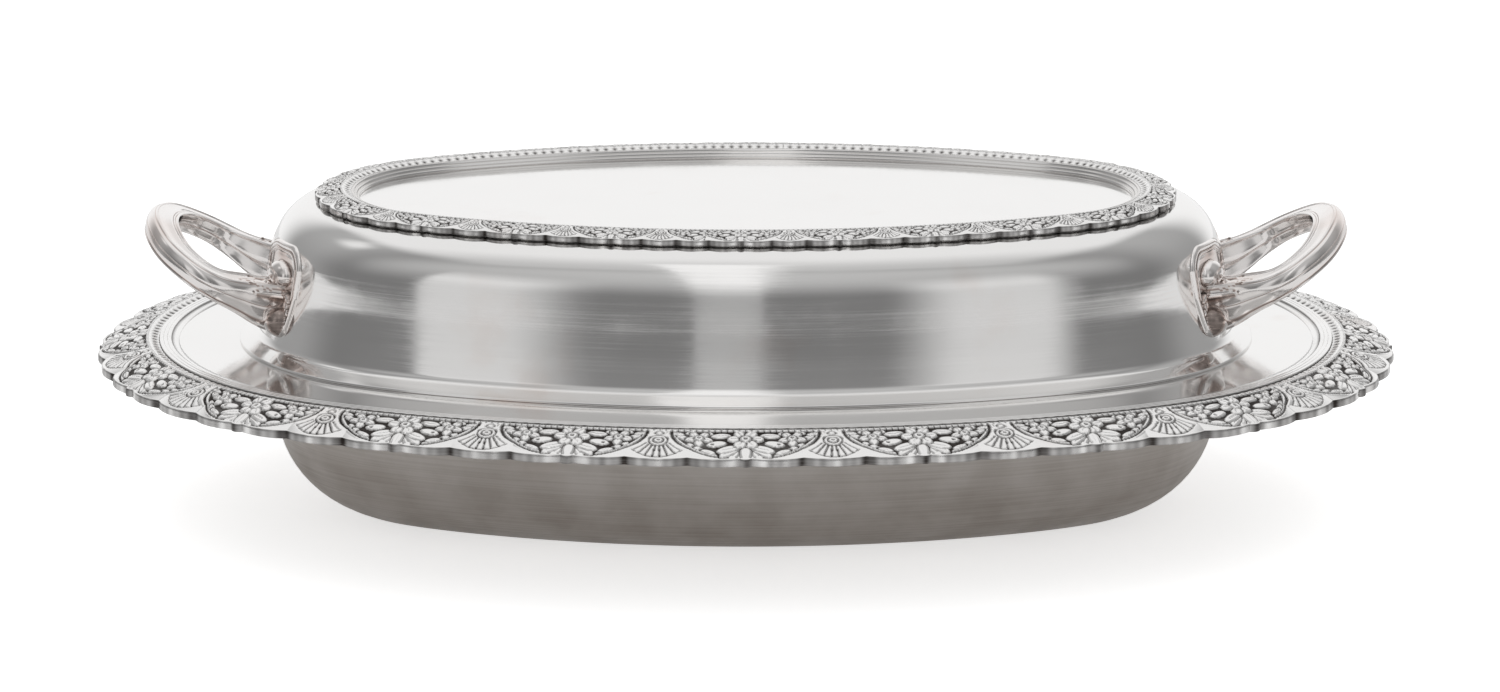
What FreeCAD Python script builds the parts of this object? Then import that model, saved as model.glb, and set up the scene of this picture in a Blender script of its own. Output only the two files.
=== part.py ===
import FreeCAD, Part
import math
import os

# Covered oval serving dish in plated metal: a deep oval pan with a broad flat shelf
# and a scalloped ornamental border, and a domed lid that lifts off. The lid has a
# smaller border of the same design round its flat top, and a loop handle at each end.
# Millimetres. X runs along the length, Y across it, Z is up and zero is the table.
# Every oval is made of four arcs about shared centres, so they are all parallel.
# The station of an oval is how far it reaches along X at the ends of the dish.

V = FreeCAD.Vector
UP = V(0, 0, 1)

# Whole dish.
dish_length = 330.0
dish_width = 222.0
end_centre_share = 0.5586923
shelf_height = 44.1

# Pan.
pan_sheet = 1.3
pan_foot_radius = 26.5
pan_wall_lean = 8.5
pan_mouth_radius = 1.6
pan_mouth_setback = 6.3
pan_floor_inset = 26.0

# Border of the dish, from its outer edge inwards.
edge_height = 2.25
edge_round = 0.4
edge_drop = 2.8
ornament_width = 12.6
ornament_crown = 0.35
crest_rise = 1.0
crest_width = 0.8
band_width = 3.1
band_lip = 0.35
strip_overhang = 2.2
strip_cover = 0.9
sheet_bend_radius = 6.0

# Scallops of the dish border.
border_periods = 20
scallop_depth = 1.5
bump_notch_share = 0.6
bump_half_share = 0.036
fan_start_share = 0.325

# Reeded ring between the border and the shelf.
reed_width = 1.0
reed_height = 0.8
reed_count = 3
cavetto_width = 2.0
cavetto_lip = 0.2

# Lid shell.
lid_sheet = 1.2
lid_height = 35.9
shelf_clear_width = 15.3
lip_height = 1.1
lip_width = 2.5
lip_round = 0.45
flare_reach = 5.2
flare_rise = 1.9
flare_radius = 5.0
lid_foot_height = 9.9
lid_foot_lean = 2.65
lid_foot_radius = 60.0
lid_wall_lean = 2.35
shoulder_radius = 13.0
lid_top_inset = 18.0

# Border of the lid.
lid_border_setback = 9.4
lid_edge_height = 1.6
lid_edge_lift = 0.2
lid_edge_overhang = 2.3
lid_edge_round = 0.3
lid_ornament_width = 6.7
lid_ornament_rise = 1.2
lid_ornament_crown = 0.2
lid_crest_width = 0.5
lid_band_width = 2.5
lid_band_drop = 0.8
lid_border_period = 24.0
lid_scallop_depth = 0.8
lid_seam_offset = 9.9
lid_left_fan_run = 11.2
lid_right_fan_run = 20.7

# Stepped moulding round the recess in the lid's top.
lid_moulding_width = 2.2
lid_moulding_steps = 3
lid_moulding_round = 0.3

# Bezel band inside the lid, which centres it in the mouth of the pan.
bezel_clearance = 0.5
bezel_thickness = 1.0
bezel_drop = 2.6

# Base plate of a handle, which hugs the end of the lid: two ears, one at the root of
# each arm, joined by a web, each drawn down to a foot. Inside its rim it is thinner,
# and towards its top it dwindles to meet the wall of the lid.
base_thickness = 1.6
base_rim_width = 2.6
base_floor_thickness = 0.9
base_taper_height = 6.0
base_top_share = 0.2
base_foot_lift = 6.0
base_height = 21.0
base_half_width = 25.0
base_foot_outer = 23.8
base_foot_inner = 16.6
base_waist_rise = 7.6
base_web_rise = 7.0
base_web_half_width = 13.0
base_dip_half_width = 3.6
base_dip = 2.8
base_ear_place = 12.5
base_ear_radius = 8.0
base_bend_radius = 4.0
base_foot_radius = 2.4

# Loop of a handle, by the top of its section at each place along one arm.
loop_root_inset = 8.2
loop_reach = 26.6
loop_half_width = 24.6
loop_foot_height = 19.9
loop_rise = 12.4
loop_tilt = 27.0
loop_section_width = 7.6
loop_section_depth = 6.2
loop_foot_depth = 12.4
loop_reach_shares = (-0.29, -0.06, 0.14, 0.31, 0.44, 0.58, 0.70, 0.82, 0.91, 0.98, 1.0)
loop_spread_shares = (0.81, 0.82, 0.87, 0.96, 1.0, 0.98, 0.90, 0.77, 0.57, 0.29, 0.0)
loop_rise_shares = (-0.06, 0.0, 0.02, 0.08, 0.19, 0.36, 0.52, 0.69, 0.85, 0.96, 1.0)
loop_depth_shares = (1.0, 0.9, 0.58, 0.22, 0.1, 0.02, 0.0, 0.0, 0.0, 0.0, 0.0)
ridge_place_share = 0.34
ridge_drop_share = 0.07
bulge_drop_share = 0.42
bead_place_share = 0.2
inner_foot_share = 0.93
seam_share = 0.5

# How far cutters reach past what they cut.
overrun = 20.0

# Stations of the dish.
edge_station = dish_length / 2
crest_station = edge_station - ornament_width
band_station = crest_station - band_width
reeds_station = band_station - reed_count * reed_width
shelf_station = reeds_station - cavetto_width
lip_station = shelf_station - shelf_clear_width
mouth_station = lip_station - pan_mouth_setback
pan_foot_station = mouth_station - pan_wall_lean
floor_station = pan_foot_station - pan_floor_inset
strip_end_station = edge_station - strip_overhang

# Heights of the dish border.
crest_height = shelf_height + crest_rise
edge_top = shelf_height - edge_drop
edge_bottom = edge_top - edge_height
strip_end_height = edge_top - strip_cover

# Stations and heights of the lid.
lid_top = shelf_height + lid_height
lip_top = shelf_height + lip_height
flare_station = lip_station - flare_reach
flare_top = lip_top + flare_rise
lid_foot_station = flare_station - lid_foot_lean
lid_foot_top = flare_top + lid_foot_height
shoulder_station = lid_foot_station - lid_wall_lean
lid_edge_station = shoulder_station - lid_border_setback
lid_crest_station = lid_edge_station - lid_ornament_width
lid_band_station = lid_crest_station - lid_band_width
lid_recess_station = lid_band_station - lid_moulding_width
lid_core_station = lid_recess_station - lid_top_inset
lid_edge_bottom = lid_top + lid_edge_lift
lid_edge_top = lid_edge_bottom + lid_edge_height
lid_crest_height = lid_edge_top + lid_ornament_rise
lid_band_height = lid_crest_height - lid_band_drop

# Shared centres of the arcs. Those of the ends lie inside the innermost oval, which is
# the core of the lid.
half_difference = (dish_length - dish_width) / 2
core_reach = lid_core_station - half_difference
end_centre = half_difference + end_centre_share * core_reach
side_centre = (half_difference * (2 * end_centre - half_difference)
               / (2 * (end_centre - half_difference)))
centre_gap = math.hypot(end_centre, side_centre)
end_angle = math.atan2(side_centre, end_centre)
side_angle = math.pi / 2 - end_angle


def oval_radii(station):
    """Radii of the end arcs and of the side arcs of an oval."""
    end = station - end_centre
    return end, end + centre_gap


def oval_length(station):
    end, side = oval_radii(station)
    return 4 * (end * end_angle + side * side_angle)


def oval_point(station, run, run_station):
    """Point on an oval, straight across from a run along the oval at run_station.

    The run starts in the middle of the front and goes towards the right end."""
    end, side = oval_radii(run_station)
    quarter = oval_length(run_station) / 4
    run = run % (4 * quarter)
    index = int(run // quarter)
    rest = run - index * quarter
    if index in (1, 3):
        rest = quarter - rest
    own_end, own_side = oval_radii(station)
    if rest < side * side_angle:
        turn = rest / side
        x = own_side * math.sin(turn)
        y = side_centre - own_side * math.cos(turn)
    else:
        turn = side_angle + (rest - side * side_angle) / end
        x = end_centre + own_end * math.sin(turn)
        y = -own_end * math.cos(turn)
    if index in (1, 2):
        y = -y
    if index in (2, 3):
        x = -x
    return V(x, y, 0)


def oval_plate(station, bottom, top):
    """Flat plate with the outline of one oval."""
    end, side = oval_radii(station)
    x = end_centre + end * math.cos(end_angle)
    y = end * math.sin(end_angle)
    half_width = station - half_difference
    corners = [V(-x, -y, bottom), V(x, -y, bottom), V(x, y, bottom), V(-x, y, bottom)]
    middles = [V(0, -half_width, bottom), V(station, 0, bottom),
               V(0, half_width, bottom), V(-station, 0, bottom)]
    edges = []
    for index in range(4):
        arc = Part.Arc(corners[index], middles[index], corners[(index + 1) % 4])
        edges.append(arc.toShape())
    return Part.Face(Part.Wire(edges)).extrude(UP * (top - bottom))


def corner_arc(before, corner, after, radius):
    """Start, middle and end of the arc that rounds a corner."""
    to_before = (before - corner).normalize()
    to_after = (after - corner).normalize()
    half = to_before.getAngle(to_after) / 2
    room = min((before - corner).Length, (after - corner).Length) / 2
    reach = min(radius / math.tan(half), room)
    radius = reach * math.tan(half)
    bisector = (to_before + to_after).normalize()
    middle = corner + bisector * (radius / math.sin(half) - radius)
    return corner + to_before * reach, middle, corner + to_after * reach


def rounded_face(corners):
    """Flat face from corners given as (point, radius), sharp where radius is zero."""
    count = len(corners)
    bends = []
    for index, (point, radius) in enumerate(corners):
        if radius > 0:
            before = corners[index - 1][0]
            after = corners[(index + 1) % count][0]
            bends.append(corner_arc(before, point, after, radius))
        else:
            bends.append((point, None, point))
    edges = []
    for index, (start, middle, end) in enumerate(bends):
        if middle is not None:
            edges.append(Part.Arc(start, middle, end).toShape())
        following = bends[(index + 1) % count][0]
        if not end.isEqual(following, Part.Precision.confusion()):
            edges.append(Part.LineSegment(end, following).toShape())
    return Part.Face(Part.Wire(edges))


def section_face(corners):
    """Upright face from corners given as (station, height, radius)."""
    return rounded_face([(V(station, 0, height), radius)
                         for station, height, radius in corners])


def turned(face, shift, start, span, centre):
    """Section turned about an upright axis, from one angle over a span."""
    moved = face.translated(V(shift, 0, 0))
    solid = moved.revolve(V(0, 0, 0), UP, math.degrees(span))
    solid.rotate(V(0, 0, 0), UP, math.degrees(start))
    return solid.translated(centre)


def right_end(corners):
    """Part of an oval ring that goes round the right end arc."""
    return turned(section_face(corners), -end_centre, -end_angle, 2 * end_angle,
                  V(end_centre, 0, 0))


def half_turn(solid):
    return solid.rotated(V(0, 0, 0), UP, 180)


def oval_ring(corners):
    """Oval ring with the section given by corners of (station, height, radius)."""
    right = right_end(corners)
    front = turned(section_face(corners), centre_gap - end_centre,
                   end_angle - math.pi, 2 * side_angle, V(0, side_centre, 0))
    return right.multiFuse([front, half_turn(right), half_turn(front)]).Solids[0]


def line_height(first, second, station):
    """Height at a station of the line through two (station, height) points."""
    share = (station - first[0]) / (second[0] - first[0])
    return first[1] + share * (second[1] - first[1])


def offset_path(path, distance):
    """Path moved to its right, with the radii of its bends to suit."""
    moved = []
    for index, (station, height, radius) in enumerate(path):
        normals = []
        for step in (index - 1, index):
            if 0 <= step < len(path) - 1:
                along = V(path[step + 1][0] - path[step][0],
                          path[step + 1][1] - path[step][1], 0).normalize()
                normals.append(V(along.y, -along.x, 0))
        first, last = normals[0], normals[-1]
        mitre = (first + last) / (1 + first.dot(last))
        turn = first.cross(last).z
        if radius > 0:
            radius = max(radius + math.copysign(distance, turn), 0)
        moved.append((station + mitre.x * distance, height + mitre.y * distance, radius))
    return moved


def scalloped_plate(station, run_station, period, fan_run, depth, first, last):
    """Plate whose outer edge is a row of lobes, closed through the middle.

    One fan lies at fan_run, and the plate covers the periods from first to last."""
    marks = ((-bump_half_share, bump_notch_share), (bump_half_share, bump_notch_share),
             (fan_start_share, 1), (1 - fan_start_share, 1))
    notches = []
    for index in range(first, last):
        middle = fan_run + (index + 0.5) * period
        for place, cut_share in marks:
            notches.append((middle + place * period, depth * cut_share))
    edges = []
    for (run, cut), (next_run, next_cut) in zip(notches, notches[1:]):
        start = oval_point(station - cut, run, run_station)
        peak = oval_point(station, (run + next_run) / 2, run_station)
        end = oval_point(station - next_cut, next_run, run_station)
        edges.append(Part.Arc(start, peak, end).toShape())
    outer_start = oval_point(station - notches[0][1], notches[0][0], run_station)
    outer_end = oval_point(station - notches[-1][1], notches[-1][0], run_station)
    middle = V(0, 0, 0)
    edges.append(Part.LineSegment(outer_end, middle).toShape())
    edges.append(Part.LineSegment(middle, outer_start).toShape())
    return Part.Face(Part.Wire(edges)).extrude(UP * (lid_crest_height + overrun))


def right_of_seams(offset):
    """Block to the right of a seam at -offset in front and one at +offset behind."""
    reach = edge_station + overrun
    outline = [V(-offset, -reach, 0), V(reach, -reach, 0), V(reach, reach, 0),
               V(offset, reach, 0), V(offset, 0, 0), V(-offset, 0, 0)]
    face = Part.Face(Part.makePolygon(outline + outline[:1]))
    return face.extrude(UP * (lid_crest_height + overrun))


def front_block():
    reach = edge_station + overrun
    return Part.makeBox(2 * reach, reach, lid_crest_height + overrun,
                        V(-reach, -reach, 0))


# Pan. The path is its upper surface, from the floor out to the border.
pan_path = [
    (floor_station, pan_sheet, 0),
    (pan_foot_station, pan_sheet, pan_foot_radius),
    (mouth_station, shelf_height, pan_mouth_radius),
    (crest_station, shelf_height, sheet_bend_radius),
    (strip_end_station, strip_end_height, 0),
]


def make_pan():
    section = pan_path + offset_path(pan_path, pan_sheet)[::-1]
    return oval_ring(section).fuse(oval_plate(floor_station, 0, pan_sheet)).removeSplitter()


def make_dish_reeding():
    """Reeds side by side, with a small cavetto down to the shelf."""
    section = [(shelf_station, shelf_height, 0),
               (shelf_station, shelf_height + cavetto_lip, 0),
               (reeds_station - cavetto_width / 2, shelf_height + cavetto_lip,
                cavetto_width / 2),
               (reeds_station, shelf_height + reed_height / 2, 0)]
    for index in range(reed_count):
        low = reeds_station + index * reed_width
        high = low + reed_width
        section.append((low, shelf_height + reed_height, reed_width / 2))
        section.append((high, shelf_height + reed_height, reed_width / 2))
        section.append((high, shelf_height + reed_height / 2, 0))
    section.append((band_station, shelf_height, 0))
    return oval_ring(section)


def make_dish_border():
    """Front and back strips of the ornamental border, which wrap the sheet's edge."""
    crown_station = (crest_station + edge_station) / 2
    crown_height = (crest_height + edge_top) / 2 + ornament_crown
    section = [
        (band_station, shelf_height, 0),
        (band_station, shelf_height + band_lip, 0),
        (crest_station - crest_width / 2, crest_height, edge_round),
        (crest_station + crest_width / 2, crest_height, edge_round),
        (crown_station, crown_height, ornament_width),
        (edge_station, edge_top, edge_round),
        (edge_station, edge_bottom, edge_round),
        (strip_end_station, edge_bottom, 0),
        (strip_end_station, strip_end_height, 0),
        (crest_station, shelf_height, sheet_bend_radius),
    ]
    middle_station = edge_station - ornament_width / 2
    period = oval_length(middle_station) / border_periods
    half = border_periods // 2
    plate = scalloped_plate(edge_station, middle_station, period, -period / 2,
                            scallop_depth, -half // 2 - 1, half // 2 + 1)
    front = oval_ring(section).common(plate).common(front_block())
    return front.Solids[0], half_turn(front.Solids[0])


# Lid. The path is its outer surface, from the flat top down the wall, which leans out
# more towards its foot, and over the flare to the lip.
lid_path = [
    (lid_core_station, lid_top, 0),
    (shoulder_station, lid_top, shoulder_radius),
    (lid_foot_station, lid_foot_top, lid_foot_radius),
    (flare_station, flare_top, flare_radius),
    (lip_station, lip_top, 0),
]
lid_inner_path = offset_path(lid_path, lid_sheet)
lip_inner_station = lip_station - lip_width
lip_inner_height = line_height(*lid_inner_path[-2:], lip_inner_station)


def lid_hollow_section(bottom):
    """Section of the space inside the lid, carried down to a height."""
    return lid_inner_path[:-1] + [(lip_inner_station, lip_inner_height, 0),
                                  (lip_inner_station, bottom, 0),
                                  (lid_core_station, bottom, 0)]


# Section of the lid as if it were solid.
lid_solid_section = lid_path + [(lip_station, shelf_height, 0),
                                (lid_core_station, shelf_height, 0)]


def make_lid_shell():
    section = lid_path[:-1] + [
        (lip_station, lip_top, lip_round),
        (lip_station, shelf_height, lip_round),
        (lip_inner_station, shelf_height, 0),
        (lip_inner_station, lip_inner_height, 0),
    ] + lid_inner_path[-2::-1]
    top = oval_plate(lid_core_station, lid_top - lid_sheet, lid_top)
    return oval_ring(section).fuse(top).removeSplitter()


def make_lid_moulding():
    """Ring that rises in rounded steps from the recess to the border."""
    step_width = lid_moulding_width / lid_moulding_steps
    step_height = (lid_band_height - lid_top) / lid_moulding_steps
    section = [(lid_recess_station, lid_top, 0)]
    for index in range(lid_moulding_steps):
        height = lid_top + (index + 1) * step_height
        low = lid_recess_station + index * step_width
        section.append((low, height, lid_moulding_round))
        section.append((low + step_width, height, 0))
    section.append((lid_band_station, lid_top, 0))
    return oval_ring(section)


def make_lid_border():
    """Left and right strips of the lid's border, which meet at two seams."""
    crown_station = (lid_crest_station + lid_edge_station) / 2
    crown_height = (lid_crest_height + lid_edge_top) / 2 + lid_ornament_crown
    foot_station = lid_edge_station - lid_edge_overhang
    section = [
        (lid_band_station, lid_top, 0),
        (lid_band_station, lid_band_height, 0),
        (lid_crest_station - lid_crest_width / 2, lid_crest_height, lid_edge_round),
        (lid_crest_station + lid_crest_width / 2, lid_crest_height, lid_edge_round),
        (crown_station, crown_height, lid_ornament_width),
        (lid_edge_station, lid_edge_top, lid_edge_round),
        (lid_edge_station, lid_edge_bottom, lid_edge_round),
        (foot_station, lid_edge_bottom, 0),
        (foot_station, lid_top, 0),
    ]
    ring = oval_ring(section)
    middle_station = (lid_edge_station + lid_crest_station) / 2
    half = oval_length(middle_station) / 2
    count = int(half / lid_border_period) + 2
    right_plate = scalloped_plate(
        lid_edge_station, middle_station, lid_border_period,
        lid_right_fan_run - lid_seam_offset, lid_scallop_depth, -2, count)
    left_plate = scalloped_plate(
        lid_edge_station, middle_station, lid_border_period,
        -lid_left_fan_run - lid_seam_offset, lid_scallop_depth, -count - 1, 1)
    right_block = right_of_seams(lid_seam_offset)
    right = ring.common(right_plate).common(right_block)
    left = ring.common(left_plate).cut(right_block)
    return left.Solids[0], right.Solids[0]


def make_bezel():
    """Band that hangs from the inside of the lid into the mouth of the pan."""
    bottom = shelf_height - bezel_drop
    wall = mouth_station - pan_wall_lean * bezel_drop / (shelf_height - pan_sheet)
    outer = wall - bezel_clearance
    inner = outer - bezel_thickness
    band = oval_ring([(inner, bottom, 0), (outer, bottom, 0),
                      (outer, lid_foot_top, 0), (inner, lid_foot_top, 0)])
    return band.common(oval_ring(lid_hollow_section(bottom))).Solids[0]


def base_outline():
    """Base plate seen from the end of the dish, as a flat face facing along X."""
    foot = shelf_height + base_foot_lift
    waist = foot + base_waist_rise
    web = foot + base_web_rise
    top = foot + base_height
    half = [
        (base_dip_half_width, top - base_dip, base_bend_radius),
        (base_ear_place, top, base_ear_radius),
        (base_half_width, top, base_ear_radius),
        (base_half_width, waist, base_bend_radius),
        (base_foot_outer, foot, base_foot_radius),
        (base_foot_inner, foot, base_foot_radius),
        (base_web_half_width, web, base_bend_radius),
    ]
    corners = [(V(0, y, z), radius) for y, z, radius in half]
    corners += [(V(0, -y, z), radius) for y, z, radius in half[::-1]]
    return rounded_face(corners)


def wall_station(path, height):
    """Station at a height of the straight upper wall in a path along the lid."""
    (top_station, top, _), (foot_station, foot, _) = path[1:3]
    return foot_station + (top_station - foot_station) * (height - foot) / (top - foot)


def base_section(growth):
    """Section of the lid grown outwards, which dwindles towards the base plate's top."""
    top = shelf_height + base_foot_lift + base_height
    full = top - base_taper_height
    grown = offset_path(lid_path, -growth)
    return [
        (lid_core_station, top, 0),
        (wall_station(lid_path, top) + base_top_share * growth, top, 0),
        (wall_station(grown, full), full, 0),
        *grown[2:],
        (lip_station, shelf_height, 0),
        (lid_core_station, shelf_height, 0),
    ]


def make_base():
    """Plate on the wall of the lid, with a thicker rim all round its outline."""
    outline = base_outline()
    wall = right_end(lid_solid_section)
    reach = V(edge_station, 0, 0)
    plate = right_end(base_section(base_thickness)).cut(wall)
    plate = plate.common(outline.extrude(reach))
    floor = right_end(base_section(base_floor_thickness))
    inside = outline.makeOffset2D(-base_rim_width).extrude(reach)
    return plate.cut(inside.cut(floor)).Solids[0]


def loop_frames():
    """Top point, outward and upward directions and depth at each place of the loop."""
    places = []
    start = lip_station - loop_root_inset
    shares = list(zip(loop_reach_shares, loop_spread_shares,
                      loop_rise_shares, loop_depth_shares))
    for side, row in ((-1, shares), (1, shares[-2::-1])):
        for reach, spread, rise, deepening in row:
            top = V(start + reach * loop_reach, side * spread * loop_half_width,
                    shelf_height + loop_foot_height + rise * loop_rise)
            depth = (loop_section_depth
                     + deepening * (loop_foot_depth - loop_section_depth))
            places.append((top, depth))
    tilt = math.radians(loop_tilt)
    lean = V(-math.sin(tilt), 0, math.cos(tilt))
    frames = []
    for index, (top, depth) in enumerate(places):
        before = places[max(index - 1, 0)][0]
        after = places[min(index + 1, len(places) - 1)][0]
        along = (after - before).normalize()
        outward = along.cross(lean).normalize()
        frames.append((top, outward, outward.cross(along).normalize(), depth))
    return frames


def loop_section(frame, upper):
    """Outline of the upper or lower half of the loop's section at one place."""
    top, outward, upward, depth = frame
    half = loop_section_width / 2

    def at(across, down_share):
        return top + outward * across - upward * (down_share * depth)

    ridge = at(ridge_place_share * loop_section_width, ridge_drop_share)
    seam_outer = at(half, seam_share)
    seam_inner = at(-half, seam_share)
    if upper:
        corner = at(-half, 0)
        swell = at(0, -ridge_drop_share / 2)
        side = at(half, bulge_drop_share - ridge_drop_share)
    else:
        corner = at(-half, inner_foot_share)
        ridge = at(bead_place_share * loop_section_width, 1)
        swell = at(-bead_place_share * loop_section_width / 2, 1)
        side = at(half - ridge_drop_share * half, (1 + seam_share) / 2)
    return Part.Wire([
        Part.LineSegment(seam_inner, corner).toShape(),
        Part.Arc(corner, swell, ridge).toShape(),
        Part.Arc(ridge, side, seam_outer).toShape(),
        Part.LineSegment(seam_outer, seam_inner).toShape(),
    ])


def make_loop(base):
    """Upper and lower halves of the loop, which end on the base plate and the lid."""
    frames = loop_frames()
    wall = right_end(lid_solid_section)
    halves = []
    for upper in (True, False):
        bar = Part.makeLoft([loop_section(frame, upper) for frame in frames], True)
        halves.append(bar.cut(wall).cut(base).Solids[0])
    return halves


dish_border_front, dish_border_back = make_dish_border()
lid_border_left, lid_border_right = make_lid_border()
right_base = make_base()
right_upper, right_lower = make_loop(right_base)

nodes = {
    "dish_pan": make_pan(),
    "dish_reeding": make_dish_reeding(),
    "dish_border_front": dish_border_front,
    "dish_border_back": dish_border_back,
    "lid_shell": make_lid_shell(),
    "lid_moulding": make_lid_moulding(),
    "lid_border_left": lid_border_left,
    "lid_border_right": lid_border_right,
    "lid_bezel": make_bezel(),
    "handle_right_base": right_base,
    "handle_right_loop_upper": right_upper,
    "handle_right_loop_lower": right_lower,
    "handle_left_base": half_turn(right_base),
    "handle_left_loop_upper": half_turn(right_upper),
    "handle_left_loop_lower": half_turn(right_lower),
}

os.makedirs("parts", exist_ok=True)
for name, shape in nodes.items():
    shape.exportStep(f"parts/{name}.step")
    box = shape.BoundBox
    print(f"{name:26s} solids {len(shape.Solids)} valid {shape.isValid()} "
          f"volume {shape.Volume:9.1f} z {box.ZMin:6.2f} to {box.ZMax:6.2f} "
          f"x {box.XMin:7.2f} to {box.XMax:7.2f} y {box.YMin:7.2f} to {box.YMax:7.2f}")
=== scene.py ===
import math
import bpy
import numpy as np
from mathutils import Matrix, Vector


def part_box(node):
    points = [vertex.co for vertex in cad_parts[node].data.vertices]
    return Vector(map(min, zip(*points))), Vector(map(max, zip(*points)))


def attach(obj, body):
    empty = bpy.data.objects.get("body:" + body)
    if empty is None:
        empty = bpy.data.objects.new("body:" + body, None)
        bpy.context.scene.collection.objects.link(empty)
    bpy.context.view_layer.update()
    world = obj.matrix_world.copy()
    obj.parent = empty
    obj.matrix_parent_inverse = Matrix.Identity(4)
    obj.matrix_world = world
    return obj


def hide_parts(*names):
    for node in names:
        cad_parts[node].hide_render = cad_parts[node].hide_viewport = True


# Looks of a covered oval serving dish in silver plate. Lengths are metres in the row
# frame: X along the dish, Y across it, Z up. Each visible piece is a mesh laid out round
# parallel ovals, and stands for a CAD node. A station is the X at which an oval crosses
# the dish's right end.

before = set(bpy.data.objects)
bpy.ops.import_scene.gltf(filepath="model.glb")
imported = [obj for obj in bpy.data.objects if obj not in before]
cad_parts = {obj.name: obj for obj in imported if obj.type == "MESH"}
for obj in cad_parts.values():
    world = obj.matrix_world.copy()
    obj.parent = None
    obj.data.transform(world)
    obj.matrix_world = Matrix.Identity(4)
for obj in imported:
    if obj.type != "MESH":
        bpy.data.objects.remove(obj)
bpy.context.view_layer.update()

MM = 0.001

# Places read from the frame.
border_low, border_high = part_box("dish_border_front")
_, pan_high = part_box("dish_pan")
_, shell_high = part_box("lid_shell")
edge_station = border_high[0]
half_width = -border_low[1]
shelf_height = pan_high[2]
lid_top = shell_high[2]
lip_station = shell_high[0]

# Ovals: four arcs about shared centres, with the change of curvature eased.
end_centre_share = 1.269
curvature_blend = math.radians(9)
fine_steps = 7200

# Dish, as in the frame.
pan_sheet = 1.3 * MM
pan_foot_radius = 26.5 * MM
pan_wall_lean = 8.5 * MM
pan_mouth_radius = 1.6 * MM
pan_mouth_setback = 6.3 * MM
pan_core_inset = 44 * MM
sheet_bend_radius = 6 * MM
edge_height = 2.25 * MM
edge_round = 0.4 * MM
edge_drop = 2.8 * MM
ornament_width = 12.6 * MM
ornament_crown = 0.35 * MM
crest_rise = 1 * MM
band_width = 3.1 * MM
band_lip = 0.35 * MM
strip_overhang = 2.2 * MM
strip_cover = 0.9 * MM
reed_width = 1 * MM
reed_height = 0.8 * MM
reed_count = 3
cavetto_width = 2 * MM
cavetto_lip = 0.2 * MM
border_periods = 20
scallop_depth = 1.5 * MM

# Lid, as in the frame.
lid_sheet = 1.2 * MM
lip_height = 1.1 * MM
lip_width = 2.5 * MM
flare_reach = 5.2 * MM
flare_rise = 1.9 * MM
flare_radius = 5 * MM
lid_foot_height = 9.9 * MM
lid_foot_lean = 2.65 * MM
lid_foot_radius = 60 * MM
lid_wall_lean = 2.35 * MM
shoulder_radius = 13 * MM
lid_top_inset = 18 * MM
lid_border_setback = 9.4 * MM
lid_edge_height = 1.6 * MM
lid_edge_lift = 0.2 * MM
lid_edge_overhang = 2.3 * MM
lid_edge_round = 0.3 * MM
lid_ornament_width = 6.7 * MM
lid_ornament_rise = 1.2 * MM
lid_ornament_crown = 0.2 * MM
lid_band_width = 2.5 * MM
lid_band_drop = 0.8 * MM
lid_border_period = 24 * MM
lid_scallop_depth = 0.8 * MM
lid_seam_offset = 9.9 * MM
lid_left_fan_run = -21.1 * MM
lid_right_fan_run = 10.8 * MM
lid_moulding_width = 2.2 * MM
lid_moulding_steps = 3
lid_moulding_round = 0.3 * MM

# Lid's lip as the photo shows it, thinner than in the frame.
lip_seen_height = 0.65 * MM
lip_seen_round = 0.3 * MM
flare_seen_height = 2.4 * MM
flare_seen_radius = 2.5 * MM

# Scallops, as shares of a period from the middle of a lunette.
bump_half_share = 0.036
bump_notch_share = 0.6
lobe_end_share = 0.325

# Stations and heights.
crest_station = edge_station - ornament_width
band_station = crest_station - band_width
reeds_station = band_station - reed_count * reed_width
shelf_station = reeds_station - cavetto_width
mouth_station = lip_station - pan_mouth_setback
pan_foot_station = mouth_station - pan_wall_lean
pan_core_station = pan_foot_station - pan_core_inset
strip_end_station = edge_station - strip_overhang
crest_height = shelf_height + crest_rise
edge_top = shelf_height - edge_drop
edge_bottom = edge_top - edge_height
strip_end_height = edge_top - strip_cover
lip_top = shelf_height + lip_height
flare_station = lip_station - flare_reach
flare_top = lip_top + flare_rise
lid_foot_station = flare_station - lid_foot_lean
lid_foot_top = flare_top + lid_foot_height
shoulder_station = lid_foot_station - lid_wall_lean
lid_edge_station = shoulder_station - lid_border_setback
lid_crest_station = lid_edge_station - lid_ornament_width
lid_band_station = lid_crest_station - lid_band_width
lid_recess_station = lid_band_station - lid_moulding_width
lid_core_station = lid_recess_station - lid_top_inset
lid_edge_bottom = lid_top + lid_edge_lift
lid_edge_top = lid_edge_bottom + lid_edge_height
lid_crest_height = lid_edge_top + lid_ornament_rise
lid_band_height = lid_crest_height - lid_band_drop


def smooth_step(low, high, value):
    """Smooth change from 0 to 1 between two values."""
    share = np.clip((value - low) / (high - low), 0, 1)
    return share * share * (3 - 2 * share)


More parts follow.
